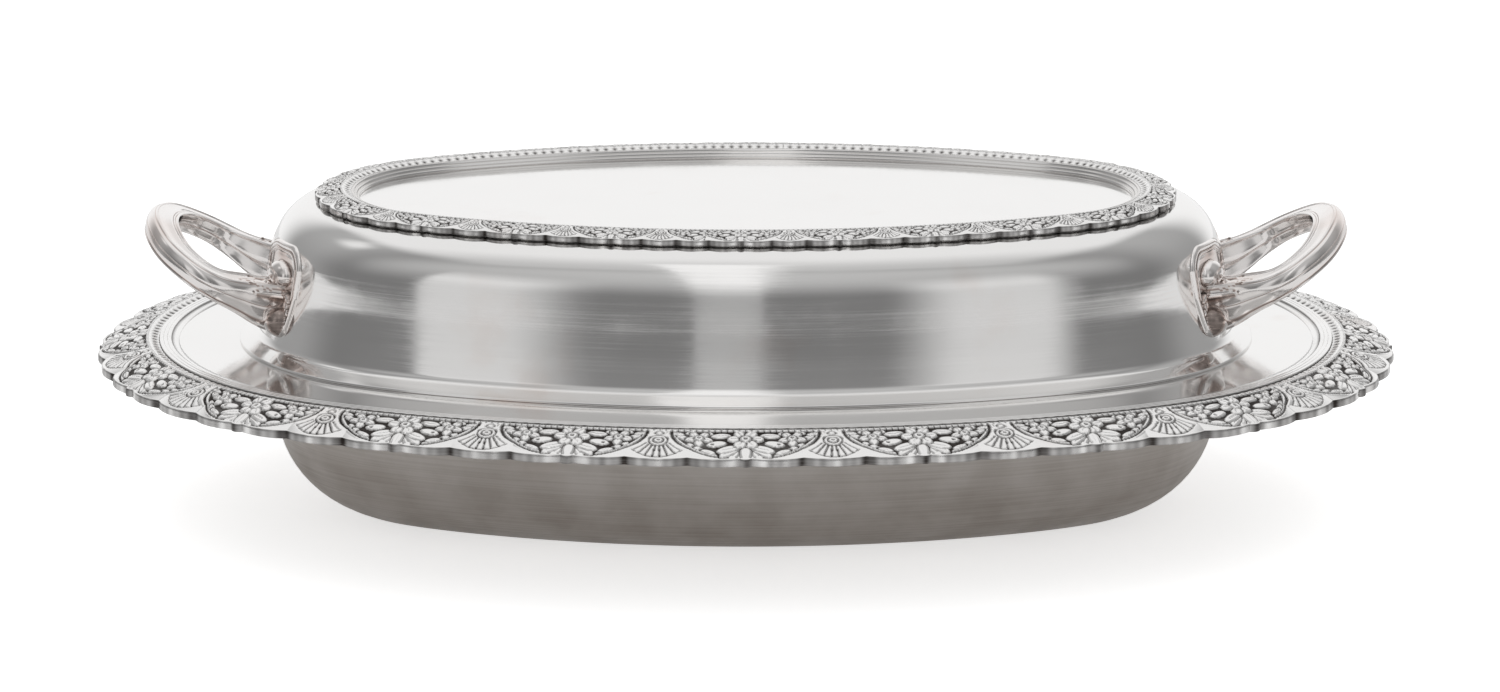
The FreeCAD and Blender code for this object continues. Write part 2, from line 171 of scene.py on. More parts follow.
def make_outline():
    """Outermost oval: turn of its normal, radius of curvature, x and y, from the front."""
    half_difference = edge_station - half_width
    end_centre = end_centre_share * half_difference
    side_centre = (half_difference * (2 * end_centre - half_difference)
                   / (2 * (end_centre - half_difference)))
    end_angle = math.atan2(side_centre, end_centre)
    turn = np.linspace(-math.pi / 2, 1.5 * math.pi, fine_steps + 1)
    end_radius = edge_station - end_centre
    side_radius = end_radius + math.hypot(end_centre, side_centre)
    upright = np.arctan2(np.abs(np.sin(turn)), np.abs(np.cos(turn)))
    side_share = smooth_step(end_angle - curvature_blend, end_angle + curvature_blend,
                             upright)
    radius = end_radius + (side_radius - end_radius) * side_share
    step = 2 * math.pi / fine_steps
    middle = turn[:-1] + step / 2
    mean = (radius[1:] + radius[:-1]) / 2
    x = np.concatenate([[0], np.cumsum(-mean * np.sin(middle) * step)])
    y = np.concatenate([[0], np.cumsum(mean * np.cos(middle) * step)])
    x -= (x.max() + x.min()) / 2
    y -= (y.max() + y.min()) / 2
    return turn, radius, x * edge_station / x.max(), y * half_width / y.max()


outline_turn, outline_radius, outline_x, outline_y = make_outline()


def outline_runs(station):
    """Run along an oval at each of the outline's turns, from the middle of the front."""
    radius = outline_radius + station - edge_station
    mean = (radius[1:] + radius[:-1]) / 2
    return np.concatenate([[0], np.cumsum(mean)]) * (2 * math.pi / fine_steps)


def oval_xy(turn, station):
    """Points where the normal has a turn, on ovals at their stations."""
    wrapped = (turn + math.pi / 2) % (2 * math.pi) - math.pi / 2
    out = station - edge_station
    x = np.interp(wrapped, outline_turn, outline_x) + out * np.cos(turn)
    y = np.interp(wrapped, outline_turn, outline_y) + out * np.sin(turn)
    return x, y


def turn_at_run(run, station):
    """Turn of the normal at a run along an oval, from the middle of the front."""
    runs = outline_runs(station)
    laps = np.floor(run / runs[-1])
    return np.interp(run - laps * runs[-1], runs, outline_turn) + laps * 2 * math.pi


def mesh_object(name, points, faces, hollow=None):
    """Object from points and faces, with the darkness of each point for its material."""
    mesh = bpy.data.meshes.new(name)
    mesh.from_pydata(points.tolist(), [], faces, shade_flat=False)
    if hollow is not None:
        layer = mesh.attributes.new("hollow", "FLOAT", "POINT")
        layer.data.foreach_set("value", np.asarray(hollow, np.float32).ravel())
    made = bpy.data.objects.new(name, mesh)
    bpy.context.scene.collection.objects.link(made)
    return made


def grid_faces(rows, columns, rows_wrap, columns_wrap):
    """Quads of a grid of points, numbered row by row, facing right of the rows."""
    row = np.arange(rows if rows_wrap else rows - 1)
    column = np.arange(columns if columns_wrap else columns - 1)
    row, column = np.meshgrid(row, column, indexing="ij")
    next_row = (row + 1) % rows
    next_column = (column + 1) % columns
    quads = np.stack([row * columns + column, row * columns + next_column,
                      next_row * columns + next_column, next_row * columns + column], -1)
    return quads.reshape(-1, 4).tolist()


def bend_path(corners, closed=False, bend_steps=9, longest=4 * MM):
    """Points (station, height) of a path given by corners of (station, height, radius)."""
    count = len(corners)
    points = []
    for index, (station, height, radius) in enumerate(corners):
        here = np.array([station, height])
        inner = closed or 0 < index < count - 1
        if radius <= 0 or not inner:
            points.append(here[None])
            continue
        before = np.array(corners[index - 1][:2]) - here
        after = np.array(corners[(index + 1) % count][:2]) - here
        room = min(np.hypot(*before), np.hypot(*after)) / 2
        before /= np.hypot(*before)
        after /= np.hypot(*after)
        half = math.acos(float(np.clip(before @ after, -1, 1))) / 2
        reach = min(radius / math.tan(half), room)
        radius = reach * math.tan(half)
        inward = (before + after) / np.hypot(*(before + after))
        centre = here + inward * radius / math.sin(half)
        start = here + before * reach - centre
        end = here + after * reach - centre
        share = np.linspace(0, 1, bend_steps)[:, None]
        span = math.pi - 2 * half
        arc = np.sin((1 - share) * span) * start + np.sin(share * span) * end
        points.append(centre + arc / math.sin(span))
    points = np.concatenate(points)
    following = np.roll(points, -1, 0) if closed else points[1:]
    full = []
    for start, end in zip(points, following):
        steps = max(1, math.ceil(np.hypot(*(end - start)) / longest))
        share = np.arange(steps)[:, None] / steps
        full.append(start + share * (end - start))
    if not closed:
        full.append(points[-1:])
    return np.concatenate(full)


def offset_corners(corners, distance):
    """Path moved to its right, with the radii of its bends to suit."""
    moved = []
    for index, (station, height, radius) in enumerate(corners):
        normals = []
        for step in (index - 1, index):
            if 0 <= step < len(corners) - 1:
                along = np.subtract(corners[step + 1][:2], corners[step][:2])
                along /= np.hypot(*along)
                normals.append(np.array([along[1], -along[0]]))
        first, last = normals[0], normals[-1]
        mitre = (first + last) / (1 + first @ last)
        turn = first[0] * last[1] - first[1] * last[0]
        if radius > 0:
            radius = max(radius + math.copysign(distance, turn), 0)
        moved.append((station + mitre[0] * distance, height + mitre[1] * distance, radius))
    return moved


ring_columns = 720
core_rings = 4
# Painted shade: share by which the dull side's darkness fades from the bottom up to the lid's
# top.
painted_shade_fade = 0.6


def oval_ring(name, section, hollow):
    """Closed ring swept round the ovals from a closed section of (station, height)."""
    turn = np.linspace(0, 2 * math.pi, ring_columns, endpoint=False)
    x, y = oval_xy(turn[None, :], section[:, :1])
    z = np.broadcast_to(section[:, 1:], x.shape)
    points = np.stack([x, y, z], -1).reshape(-1, 3)
    return mesh_object(name, points, grid_faces(len(section), ring_columns, True, True),
                       np.repeat(hollow, ring_columns))


def oval_vessel(name, first, last, last_dull_and_shade):
    """Vessel between two open paths that both start at a flat core and meet at their ends.

    The side of the last path gets a dull, darker colour, most of all low down: a dull finish,
    with painted shade that grows towards the bottom.
    """
    turn = np.linspace(0, 2 * math.pi, ring_columns, endpoint=False)
    path = np.concatenate([first, last[::-1]])
    x, y = oval_xy(turn[None, :], path[:, :1])
    rings = np.stack([x, y, np.broadcast_to(path[:, 1:], x.shape)], -1)
    shrink = np.ones((core_rings - 1, 1, 3))
    shrink[..., :2] = np.arange(1, core_rings)[:, None, None] / core_rings
    grid = np.concatenate([rings[0] * shrink, rings, rings[-1] * shrink[::-1]])
    count = grid.shape[0] * ring_columns
    faces = grid_faces(len(grid), ring_columns, False, True)
    for column in range(ring_columns):
        following = (column + 1) % ring_columns
        faces.append([count, following, column])
        faces.append([count + 1, count - ring_columns + column,
                      count - ring_columns + following])
    centre = np.array([[0, 0, grid[0, 0, 2]], [0, 0, grid[-1, 0, 2]]])
    dull_and_shade = np.zeros(grid.shape[:2])
    dull_and_shade[core_rings - 1 + len(first):] = last_dull_and_shade
    # Painted shade: the dull side is darker towards the bottom.
    dull_and_shade *= 1 - painted_shade_fade * grid[..., 2] / lid_top
    return mesh_object(name, np.concatenate([grid.reshape(-1, 3), centre]), faces,
                       np.concatenate([dull_and_shade.ravel(), [0, last_dull_and_shade]]))


def stand_for(made, node, body, material):
    """Puts a mesh on its body in place of its CAD node."""
    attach(made, body)
    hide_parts(node)
    made.data.materials.append(material)


# Relief of the border, in one period. Across is from 0 at the crest to 1 at the edge,
# and along is in shares of the period from the middle of a lunette. The shapes are laid
# out in units of a millimetre on the dish, and the lid's border is the same one, smaller.
pattern_length = 42.5
pattern_width = 12.6
field_level = 0.30
line_gap = 0.3
shape_round = 0.95
shape_rim_share = 0.3
leaf_level = 0.36
flower_level = 0.42
heart_rise = 0.06
eye_share = 0.34
vein_length_share = 0.8
vein_half_width = 0.12
vein_level_share = 0.62
rim_start, rim_end = 12.0, 12.35

# Lunette, with the shares and levels of the lines inside its outline.
lunette_half_length = 19.4
lunette_depth = 13.2
lunette_power = 2.2
lunette_lines = ((1.0, 0.36), (0.962, 0.0), (0.924, 0.36), (0.886, 0.02))
lunette_inside = 0.905
tip_half_width = 6.6
tip_start = 9

# Leaves and flowers in a lunette: middle, half length and width, and tilt in degrees.
# A flower has its middle, petals, their reach and size, its heart, and the first turn.
# Side shapes are on both sides of the middle.
side_leaves = (
    ((15.2, 3.6), (1.9, 0.85), -28), ((16.6, 1.7), (1.7, 0.7), -12),
    ((13.0, 7.4), (1.5, 0.7), -38), ((11.2, 8.6), (1.6, 0.75), -30),
    ((9.0, 9.6), (1.9, 0.75), -18), ((6.0, 2.5), (2.5, 1.15), 4),
    ((9.4, 1.2), (1.5, 0.7), -8), ((13.4, 1.1), (1.5, 0.7), 6),
)
side_flower = ((11.4, 3.9), 5, 2.15, (1.35, 1.1), 1.2, 18)
side_bud = ((7.0, 6.3), (2.5, 1.25), 12)
side_bud_eye = ((8.0, 6.6), (0.38, 0.38))
spray_foot = (1.2, 7.9)
spray_squeeze = 0.72
spray_leaf_half_width = 1.35
spray_leaves = ((24, 3.0), (48, 3.3), (72, 3.0))
tip_leaf = ((0, 10.4), (2.6, 1.5), 90)
middle_flower = ((0, 4.1), 6, 2.75, (1.75, 1.45), 1.45, 0)

# Fan between two lunettes: ribs round an apex, a line across their ends, and a boss of
# rings of (radius, level) with a berry over it.
fan_apex = 3.4
fan_pitch = math.radians(12.5)
fan_start = 3.9
fan_end = 8.4
fan_clearance = 1.03
rib_level, rib_swing = 0.72, 0.38
rib_gap, rib_gap_level = 0.17, 0.03
fan_line_radius = 8.5
fan_line_half_width = 0.14
fan_line_level = 0.1
fan_boss = (0, 5.0)
fan_boss_rings = ((2.5, 0.03), (2.15, 0.36), (1.45, 0.03), (1.05, 0.42), (0.3, 0.05))
fan_berry = ((0, 1.5), (0.9, 0.75))


def dome(share):
    """Height of a unit dome at a share of its radius, and 0 outside it."""
    return np.sqrt(np.clip(1 - share ** 2, 0, 1))


def bell(value, middle, spread):
    """One at the middle, and falling off to both sides."""
    return np.exp(-((value - middle) / spread) ** 2)


def oval_distance(x, y, centre, size, tilt=0.0):
    """Distance in pattern units to the outline of an ellipse, negative inside."""
    turn = math.radians(tilt)
    across = (x - centre[0]) * math.cos(turn) + (y - centre[1]) * math.sin(turn)
    up = (y - centre[1]) * math.cos(turn) - (x - centre[0]) * math.sin(turn)
    share = np.hypot(across / size[0], up / size[1])
    return (share - 1) * math.sqrt(size[0] * size[1])


def lay_shape(height, distance, level):
    """Lays a rounded raised shape over a relief, with a sunk line round it."""
    share = np.clip(-distance / shape_round, 0, 1)
    raised = level * (shape_rim_share + (1 - shape_rim_share) * dome(1 - share))
    return np.where(distance < 0, raised, np.where(distance < line_gap, 0, height))


def lunette_share(x, y):
    """One on the outer line of a lunette, less inside it."""
    return ((np.abs(x) / lunette_half_length) ** lunette_power
            + (np.abs(y) / lunette_depth) ** lunette_power) ** (1 / lunette_power)


def draw_leaf(height, x, y, centre, size, tilt, level=leaf_level):
    """Oval leaf with a sunk vein along it."""
    height = lay_shape(height, oval_distance(x, y, centre, size, tilt), level)
    vein_size = (size[0] * vein_length_share, vein_half_width)
    vein = oval_distance(x, y, centre, vein_size, tilt)
    return np.where(vein < 0, np.minimum(height, level * vein_level_share), height)


def draw_flower(height, x, y, centre, petals, reach, petal, heart, first):
    """Flower of leaf-shaped petals round a domed heart with a sunk eye."""
    for index in range(petals):
        turn = first + 360 / petals * index
        place = (centre[0] + reach * math.cos(math.radians(turn)),
                 centre[1] + reach * math.sin(math.radians(turn)))
        height = draw_leaf(height, x, y, place, petal, turn, flower_level)
    height = lay_shape(height, oval_distance(x, y, centre, (heart, heart)),
                       flower_level + heart_rise)
    eye = (heart * eye_share, heart * eye_share)
    return np.where(oval_distance(x, y, centre, eye) < 0, 0.0, height)


def draw_fan(height, x, y):
    """Ribs that spread from a small boss under the crest, between two lunettes."""
    side = pattern_length / 2 - np.abs(x)
    turn = np.arctan2(side, y - fan_apex)
    radius = np.hypot(side, y - fan_apex)
    rib_width = fan_pitch * radius
    off_rib = np.abs((turn / fan_pitch + 0.5) % 1 - 0.5) * rib_width
    in_fan = (radius > fan_start) & (lunette_share(x, y) > fan_clearance) & (y > fan_apex)
    rib = field_level * (rib_level + rib_swing * np.cos(off_rib / rib_width * math.pi))
    fan = np.where(rib_width / 2 - off_rib < rib_gap, rib_gap_level, rib)
    fan = np.where(radius > fan_end, field_level, fan)
    height = np.where(in_fan, fan, height)
    on_line = np.abs(radius - fan_line_radius) < fan_line_half_width
    height = np.where(on_line & in_fan, fan_line_level, height)
    for ring, level in fan_boss_rings:
        height = np.where(oval_distance(side, y, fan_boss, (ring, ring)) < 0, level, height)
    return lay_shape(height, oval_distance(side, y, *fan_berry), flower_level)


def relief(along, across):
    """Height of the ornament over its ground, in pattern units."""
    x = ((along + 0.5) % 1 - 0.5) * pattern_length
    y = across * pattern_width
    side = np.abs(x)
    height = np.full(np.broadcast(x, y).shape, field_level)
    height = draw_fan(height, x, y)
    share = lunette_share(x, y)
    for limit, level in lunette_lines:
        height = np.where(share < limit, level, height)
    inside = height
    for centre, size, tilt in side_leaves:
        inside = draw_leaf(inside, side, y, centre, size, tilt)
    inside = draw_flower(inside, side, y, *side_flower)
    inside = lay_shape(inside, oval_distance(side, y, *side_bud), leaf_level)
    inside = np.where(oval_distance(side, y, *side_bud_eye) < 0, 0.0, inside)
    for turn, length in spray_leaves:
        tilt = 90 - turn
        lean = math.radians(tilt)
        place = (spray_foot[0] + length * math.cos(lean),
                 spray_foot[1] + spray_squeeze * length * math.sin(lean))
        inside = draw_leaf(inside, side, y, place, (length, spray_leaf_half_width), tilt)
    inside = draw_leaf(inside, x, y, *tip_leaf)
    inside = draw_flower(inside, x, y, *middle_flower)
    in_lunette = (share < lunette_inside) | ((side < tip_half_width) & (y > tip_start))
    height = np.where(in_lunette, inside, height)
    rim = smooth_step(rim_start, rim_end, y)
    return height * (1 - rim) + field_level * rim


def scallop_cut(along):
    """How far the edge lies inside its lobes, as a share of the scallops' depth."""
    place = np.abs((along + 0.5) % 1 - 0.5)
    lobe_middle = (bump_half_share + lobe_end_share) / 2
    bump = bump_notch_share * (place / bump_half_share) ** 2
    near = bump_notch_share * ((lobe_middle - place) / (lobe_middle - bump_half_share)) ** 2
    far = ((place - lobe_middle) / (lobe_end_share - lobe_middle)) ** 2
    fan = ((0.5 - place) / (0.5 - lobe_end_share)) ** 2
    cut = np.where(place < lobe_middle, near, np.where(place < lobe_end_share, far, fan))
    return np.where(place < bump_half_share, bump, cut)


# Strips of border. A hollow of 0 is bright metal and 1 is dark: tarnish and painted shade in
# the sunk lines, and painted shade and reflection elsewhere. Painted reflections on the edge
# wall are of (darkness, share of the period from the middle of a lunette, spread).
band_power = 1.3
flute_power = 0.7
flute_run_out = 1.06
# Flutes and the gaps between beads are darker: tarnish and painted shade.
flute_hollow = (1.8, -0.7)
flute_darkest = 0.95
# Painted shade at the band's foot.
ground_shade = 0.6
bead_rows = (-0.35, 0.0, 0.35)
bead_arch = 2.6
bead_hollow = (-1.6, 0.9)
relief_start = 0.035
# Painted reflection on the edge wall: its level, its marks and its ripple.
edge_reflection_level = 0.52
edge_reflection_marks = ((0.4, lobe_end_share, 0.04), (0.35, 0, 0.024), (-0.45, 0.09, 0.03),
              (-0.3, 0.5, 0.03))
edge_reflection_ripple = 0.14
edge_reflection_ripple_waves = (77, 31)
# Painted shade on the strip's back.
back_shade = 0.5


def edge_shade(along):
    """Painted reflection on the strip's edge wall: its hollow, darker and lighter in turn, as
    the wall would mirror dark and light places.
    """
    place = np.abs((along + 0.5) % 1 - 0.5)
    fast, slow = edge_reflection_ripple_waves
    dark = edge_reflection_level + edge_reflection_ripple * np.sin(along * fast) * np.sin(along * slow + 1)
    for level, middle, spread in edge_reflection_marks:
        dark = dark + level * bell(place, middle, spread)
    return np.clip(dark, 0, 1)


def border_strip(name, sizes, runs, along):
    """Strip of border from its runs along the oval, with the pattern's share at each."""
    unit = sizes["width"] / pattern_width
    edge_top, edge_bottom, rounding = sizes["edge_top"], sizes["edge_bottom"], sizes["round"]
    crest, crest_height = sizes["crest"], sizes["crest_height"]
    turn = turn_at_run(runs, (sizes["edge"] + crest) / 2)[None, :]
    along = along[None, :]
    rows, hollows = [], []

    def add(station, height, hollow):
        shape = np.broadcast(station, height, turn).shape
        x, y = oval_xy(turn, np.broadcast_to(station, shape))
        rows.append(np.stack([x, y, np.broadcast_to(height, shape)], -1))
        hollows.append(np.broadcast_to(hollow, shape))

    band = np.linspace(0, 1, sizes["band_rows"])[:, None]
    flutes = np.round(sizes["run_length"] / sizes["flute_pitch"])
    flute = np.abs((along * flutes) % 1 - 0.5) * 2
    run_out = np.sin(math.pi * np.clip(band * flute_run_out, 0, 1))
    dent = sizes["flute_depth"] * (1 - flute) ** flute_power * run_out
    slope = sizes["band_foot"] + (crest_height - sizes["band_foot"]) * band ** band_power
    # Painted shade where the band meets the ground.
    add(np.full((1, 1), sizes["band"]), sizes["ground"], ground_shade)
    # Darker in the flutes' dents: tarnish and painted shade.
    gain, offset = flute_hollow
    add(sizes["band"] + (crest - sizes["bead"] / 2 - sizes["band"]) * band, slope - dent,
        np.clip(dent / sizes["flute_depth"] * gain + offset, 0, flute_darkest))
    beads = np.round(sizes["run_length"] / sizes["bead_pitch"])
    bead = np.abs(np.sin(math.pi * along * beads))
    # Darker between the beads: tarnish and painted shade.
    gain, offset = bead_hollow
    for share in bead_rows:
        lift = sizes["bead_height"] * (np.sqrt(bead) * math.cos(share * bead_arch) - 1)
        add(crest + share * sizes["bead"], crest_height + lift,
            np.clip(bead * gain + offset, 0, 1))
    across = np.linspace(relief_start, 1, sizes["relief_rows"])[:, None]
    edge = sizes["edge"] - sizes["scallop"] * scallop_cut(along)
    body = crest_height + (edge_top - crest_height) * across
    body = body + sizes["crown"] * 4 * across * (1 - across)
    pressed = relief(along, across)
    # Darker in the relief's sunk lines: tarnish and painted shade.
    add(crest + (edge - rounding - crest) * across,
        body + (pressed - flower_level) * unit * sizes["boost"],
        1 - smooth_step(*sizes["dark_levels"], pressed))
    # Painted reflection and shade on the edge wall, its rounds and its foot.
    dark = edge_shade(along)
    top = edge_top + (field_level - flower_level) * unit * sizes["boost"]
    for lean in (math.pi / 6, math.pi / 3, math.pi / 2):
        add(edge - rounding * (1 - math.sin(lean)), top - rounding * (1 - math.cos(lean)), dark)
    wall_top, wall_foot = top - rounding, edge_bottom + rounding
    for share in (0.35, 0.7):
        add(edge, wall_top + (wall_foot - wall_top) * share, dark)
    for lean in (0, math.pi / 4, math.pi / 2):
        add(edge - rounding * (1 - math.cos(lean)), wall_foot - rounding * math.sin(lean), dark)
    # Painted shade on the back and underside of the strip.
    for station, height in sizes["back"]:
        add(np.full((1, 1), station), height, back_shade)
    grid = np.concatenate(rows)
    count, columns = grid.shape[:2]
    faces = grid_faces(count, columns, True, False)
    faces.append([row * columns for row in range(count)])
    faces.append([row * columns + columns - 1 for row in range(count)][::-1])
    return mesh_object(name, grid.reshape(-1, 3), faces, np.concatenate(hollows))


dish_border_length = outline_runs(edge_station - ornament_width / 2)[-1]
dish_border = {
    "edge": edge_station, "crest": crest_station, "band": band_station,
    "width": ornament_width, "crest_height": crest_height, "edge_top": edge_top,
    "edge_bottom": edge_bottom, "crown": ornament_crown, "round": edge_round,
    "scallop": scallop_depth, "ground": shelf_height, "band_foot": shelf_height + band_lip,
    "bead": 0.8 * MM, "bead_pitch": 1.5 * MM, "bead_height": 0.22 * MM,
    "flute_pitch": 3 * MM, "flute_depth": 0.38 * MM,
    "run_length": dish_border_length / border_periods,
    "band_rows": 7, "relief_rows": 52, "boost": 1.3, "dark_levels": (0.04, 0.22),
    "back": ((strip_end_station, edge_bottom), (strip_end_station, strip_end_height),
             (crest_station + sheet_bend_radius / 5, shelf_height - 0.15 * MM),
             (crest_station, shelf_height)),
}
lid_border = {
    "edge": lid_edge_station, "crest": lid_crest_station, "band": lid_band_station,
    "width": lid_ornament_width, "crest_height": lid_crest_height, "edge_top": lid_edge_top,
    "edge_bottom": lid_edge_bottom, "crown": lid_ornament_crown, "round": lid_edge_round,
    "scallop": lid_scallop_depth, "ground": lid_top, "band_foot": lid_band_height,
    "bead": 0.6 * MM, "bead_pitch": 1.2 * MM, "bead_height": 0.16 * MM,
    "flute_pitch": 2.5 * MM, "flute_depth": 0.26 * MM,
    "run_length": lid_border_period,
    "band_rows": 5, "relief_rows": 34, "boost": 1.7, "dark_levels": (0.06, 0.3),
    "back": ((lid_edge_station - lid_edge_overhang, lid_edge_bottom),
             (lid_edge_station - lid_edge_overhang, lid_top)),
}
dish_columns_per_period = 168
lid_column_step = 0.19 * MM


def make_dish_border(material):
    """Front and back halves, whose joints lie at the dish's two ends."""
    half = border_periods // 2
    for side, start in (("front", -half / 2), ("back", half / 2)):
        along = np.linspace(start, start + half, half * dish_columns_per_period + 1)
        strip = border_strip(f"{side}_border_of_dish", dish_border,
                             along * dish_border["run_length"], along)
        stand_for(strip, f"dish_border_{side}", "dish", material)


def run_at_x(station, x, behind):
    """Run, from the middle of the front, where an oval passes a place along X."""
    px, py = oval_xy(outline_turn, np.full_like(outline_turn, station))
    on_side = (py > 0) if behind else (py <= 0)
    return outline_runs(station)[np.argmin(np.where(on_side, np.abs(px - x), np.inf))]


def make_lid_border(material):
    """Right and left strips, each with a fan at its own place in front."""
    middle_station = (lid_edge_station + lid_crest_station) / 2
    length = outline_runs(middle_station)[-1]
    front_seam = run_at_x(middle_station, -lid_seam_offset, False) - length
    back_seam = run_at_x(middle_station, lid_seam_offset, True)
    spans = (("right", front_seam, back_seam, lid_right_fan_run),
             ("left", back_seam - length, front_seam, lid_left_fan_run))
    for side, start, end, fan_run in spans:
        runs = np.linspace(start, end, int((end - start) / lid_column_step))
        along = (runs - fan_run) / lid_border_period + 0.5
        strip = border_strip(f"{side}_border_of_lid", lid_border, runs, along)
        stand_for(strip, f"lid_border_{side}", "lid", material)


sheet_steps = 16
wire_steps = 6
# Painted shade low between the reeds: its darkness, the rise over which it fades, and how far
# in it starts.
reed_shade = 0.95
reed_shade_from, reed_shade_to = 0.42, 0.72
reed_shade_inset = 0.25 * MM
# Painted shade as lines on the lid's moulding: their spread and darkness.
moulding_line_spread = 0.12
moulding_line_shade = 0.35


def make_pan(material):
    """Pan and shelf, from the middle of the floor out to under the border's edge."""
    upper = [
        (pan_core_station, pan_sheet, 0),
        (pan_foot_station, pan_sheet, pan_foot_radius),
        (mouth_station, shelf_height, pan_mouth_radius),
        (crest_station, shelf_height, sheet_bend_radius),
        (strip_end_station, strip_end_height, 0),
    ]
    first = bend_path(upper, bend_steps=sheet_steps)
    last = bend_path(offset_corners(upper, pan_sheet), bend_steps=sheet_steps)
    # The pan's outside: dull finish, and painted shade that deepens towards its foot.
    pan = oval_vessel("pan", first, last, 1.0)
    stand_for(pan, "dish_pan", "dish", material)


def make_reeding(material):
    """Cavetto and reeds, with painted shade as dark lines between the reeds."""
    section = [(shelf_station, shelf_height, 0),
               (shelf_station, shelf_height + cavetto_lip, 0),
               (reeds_station - cavetto_width / 2, shelf_height + cavetto_lip,
                cavetto_width / 2),
               (reeds_station, shelf_height + reed_height / 2, 0)]
    for index in range(reed_count):
        low = reeds_station + index * reed_width
        high = low + reed_width
        section.append((low, shelf_height + reed_height, reed_width / 2))
        section.append((high, shelf_height + reed_height, reed_width / 2))
        section.append((high, shelf_height + reed_height / 2, 0))
    section.append((band_station, shelf_height, 0))
    section = bend_path(section, closed=True, bend_steps=wire_steps)
    rise = (section[:, 1] - shelf_height) / reed_height
    # Painted shade: darker low between the reeds.
    low = 1 - smooth_step(reed_shade_from, reed_shade_to, rise)
    outer = section[:, 0] > reeds_station - reed_shade_inset
    ring = oval_ring("reeding", section, low * outer * reed_shade)
    stand_for(ring, "dish_reeding", "dish", material)


# Outside of the lid as in the frame, where its handles stand.
lid_corners = [
    (lid_core_station, lid_top, 0),
    (shoulder_station, lid_top, shoulder_radius),
    (lid_foot_station, lid_foot_top, lid_foot_radius),
    (flare_station, flare_top, flare_radius),
    (lip_station, lip_top, 0),
]


def make_shell(material):
    """Shell of the lid, with the thin lip that the photo shows."""
    corners = lid_corners[:-2] + [
        (flare_station, shelf_height + flare_seen_height, flare_seen_radius),
        (lip_station, shelf_height + lip_seen_height, 0)]
    inner = offset_corners(corners, lid_sheet)
    lip_inner = lip_station - lip_width
    (low_x, low_z, _), (high_x, high_z, _) = inner[-2:]
    lip_inner_height = low_z + (lip_inner - low_x) / (high_x - low_x) * (high_z - low_z)
    outer = corners[:-1] + [(lip_station, shelf_height + lip_seen_height, lip_seen_round),
                            (lip_station, shelf_height, lip_seen_round),
                            (lip_inner, shelf_height, 0)]
    first = bend_path(outer, bend_steps=sheet_steps)
    last = bend_path(inner[:-1] + [(lip_inner, lip_inner_height, 0)], bend_steps=sheet_steps)
    # The lid's inside gets half of it: duller, with painted shade that is darker low down.
    shell = oval_vessel("lid_cover", first, last, 0.5)
    stand_for(shell, "lid_shell", "lid", material)


def make_moulding(material):
    """Stepped ring round the lid's sunk top, with painted shade as dark lines at the steps."""
    step_width = lid_moulding_width / lid_moulding_steps
    step_height = (lid_band_height - lid_top) / lid_moulding_steps
    section = [(lid_recess_station, lid_top, 0)]
    for index in range(lid_moulding_steps):
        height = lid_top + (index + 1) * step_height
        low = lid_recess_station + index * step_width
        section.append((low, height, lid_moulding_round))
        section.append((low + step_width, height, 0))
    section.append((lid_band_station, lid_top, 0))
    section = bend_path(section, closed=True, bend_steps=wire_steps)
    steps = (section[:, 1] - lid_top) / step_height
    # Painted shade: darker at each step's height.
    hollow = bell(steps, np.round(steps), moulding_line_spread) * moulding_line_shade
    ring = oval_ring("moulding", section, hollow)
    stand_for(ring, "lid_moulding", "lid", material)


# Handles. The shapes are those of the right one, and the left one is its half turn.
# Each arm of the loop is a deep strap, whose top runs through places given as shares
# of its reach, spread and rise.
loop_root_inset = 8.2 * MM
loop_reach = 26.6 * MM
loop_half_width = 24.6 * MM
loop_foot_height = 19.9 * MM
loop_rise = 12.4 * MM
loop_tilt = math.radians(27)
loop_width = 7.6 * MM
loop_depth = 6.2 * MM
loop_foot_depth = 12.4 * MM
loop_reach_shares = (-0.29, -0.06, 0.14, 0.31, 0.44, 0.58, 0.70, 0.82, 0.91, 0.98, 1.0)
loop_spread_shares = (0.81, 0.82, 0.87, 0.96, 1.0, 0.98, 0.90, 0.77, 0.57, 0.29, 0.0)
loop_rise_shares = (-0.17, -0.1, 0.0, 0.08, 0.19, 0.36, 0.52, 0.69, 0.85, 0.96, 1.0)
loop_depth_shares = (1.1, 1.02, 0.66, 0.25, 0.1, 0.02, 0.0, 0.0, 0.0, 0.0, 0.0)
loop_span_steps = 14
end_centre = end_centre_share * (edge_station - half_width)
wall_profile = bend_path(lid_corners, bend_steps=24, longest=0.5 * MM)[::-1]
sheet_bite = 0.35 * MM

# Section of the strap, in millimetres: across from its middle, outwards, and down from
# its top. Beads are (across, drop, radius, steps), and lines (across, drop, hollow).
strap_half = loop_width / MM / 2
seam_inset, seam_hollow = 0.06, 0.35
seam_gap, seam_gap_hollow = 0.16, 0.1
strap_side_top = 0.5
strap_beads = ((-3.35, 0.38, 0.42, 7), (-2.55, 0.36, 0.22, 5), (2.26, 0.5, 0.24, 5))
# Lines on top and underneath are darker by their hollow: tarnish and painted shade.
strap_lines = ((-2.83, 0.48, 1.0), (-2.24, 0.46, 1.0), (1.98, 0.62, 0.35), (2.56, 0.66, 0.45))
channel_start, channel_width = -2.1, 3.9
channel_drop, channel_fall, channel_sag = 0.26, 0.2, 0.28
round_start, round_drop, round_margin = 2.6, 0.72, 0.9
side_draft, side_end = 0.5, 0.84
under_lines = ((0.62, 0.85, 0.8), (1.45, 0.93, 0.6))
under_bead_inset, under_bead_place, under_bead_radius = 0.95, 0.91, 0.42
under_start, under_margin = 1.7, 2.6
under_lift, under_sag = 0.06, 0.12
heel_radius = 0.9

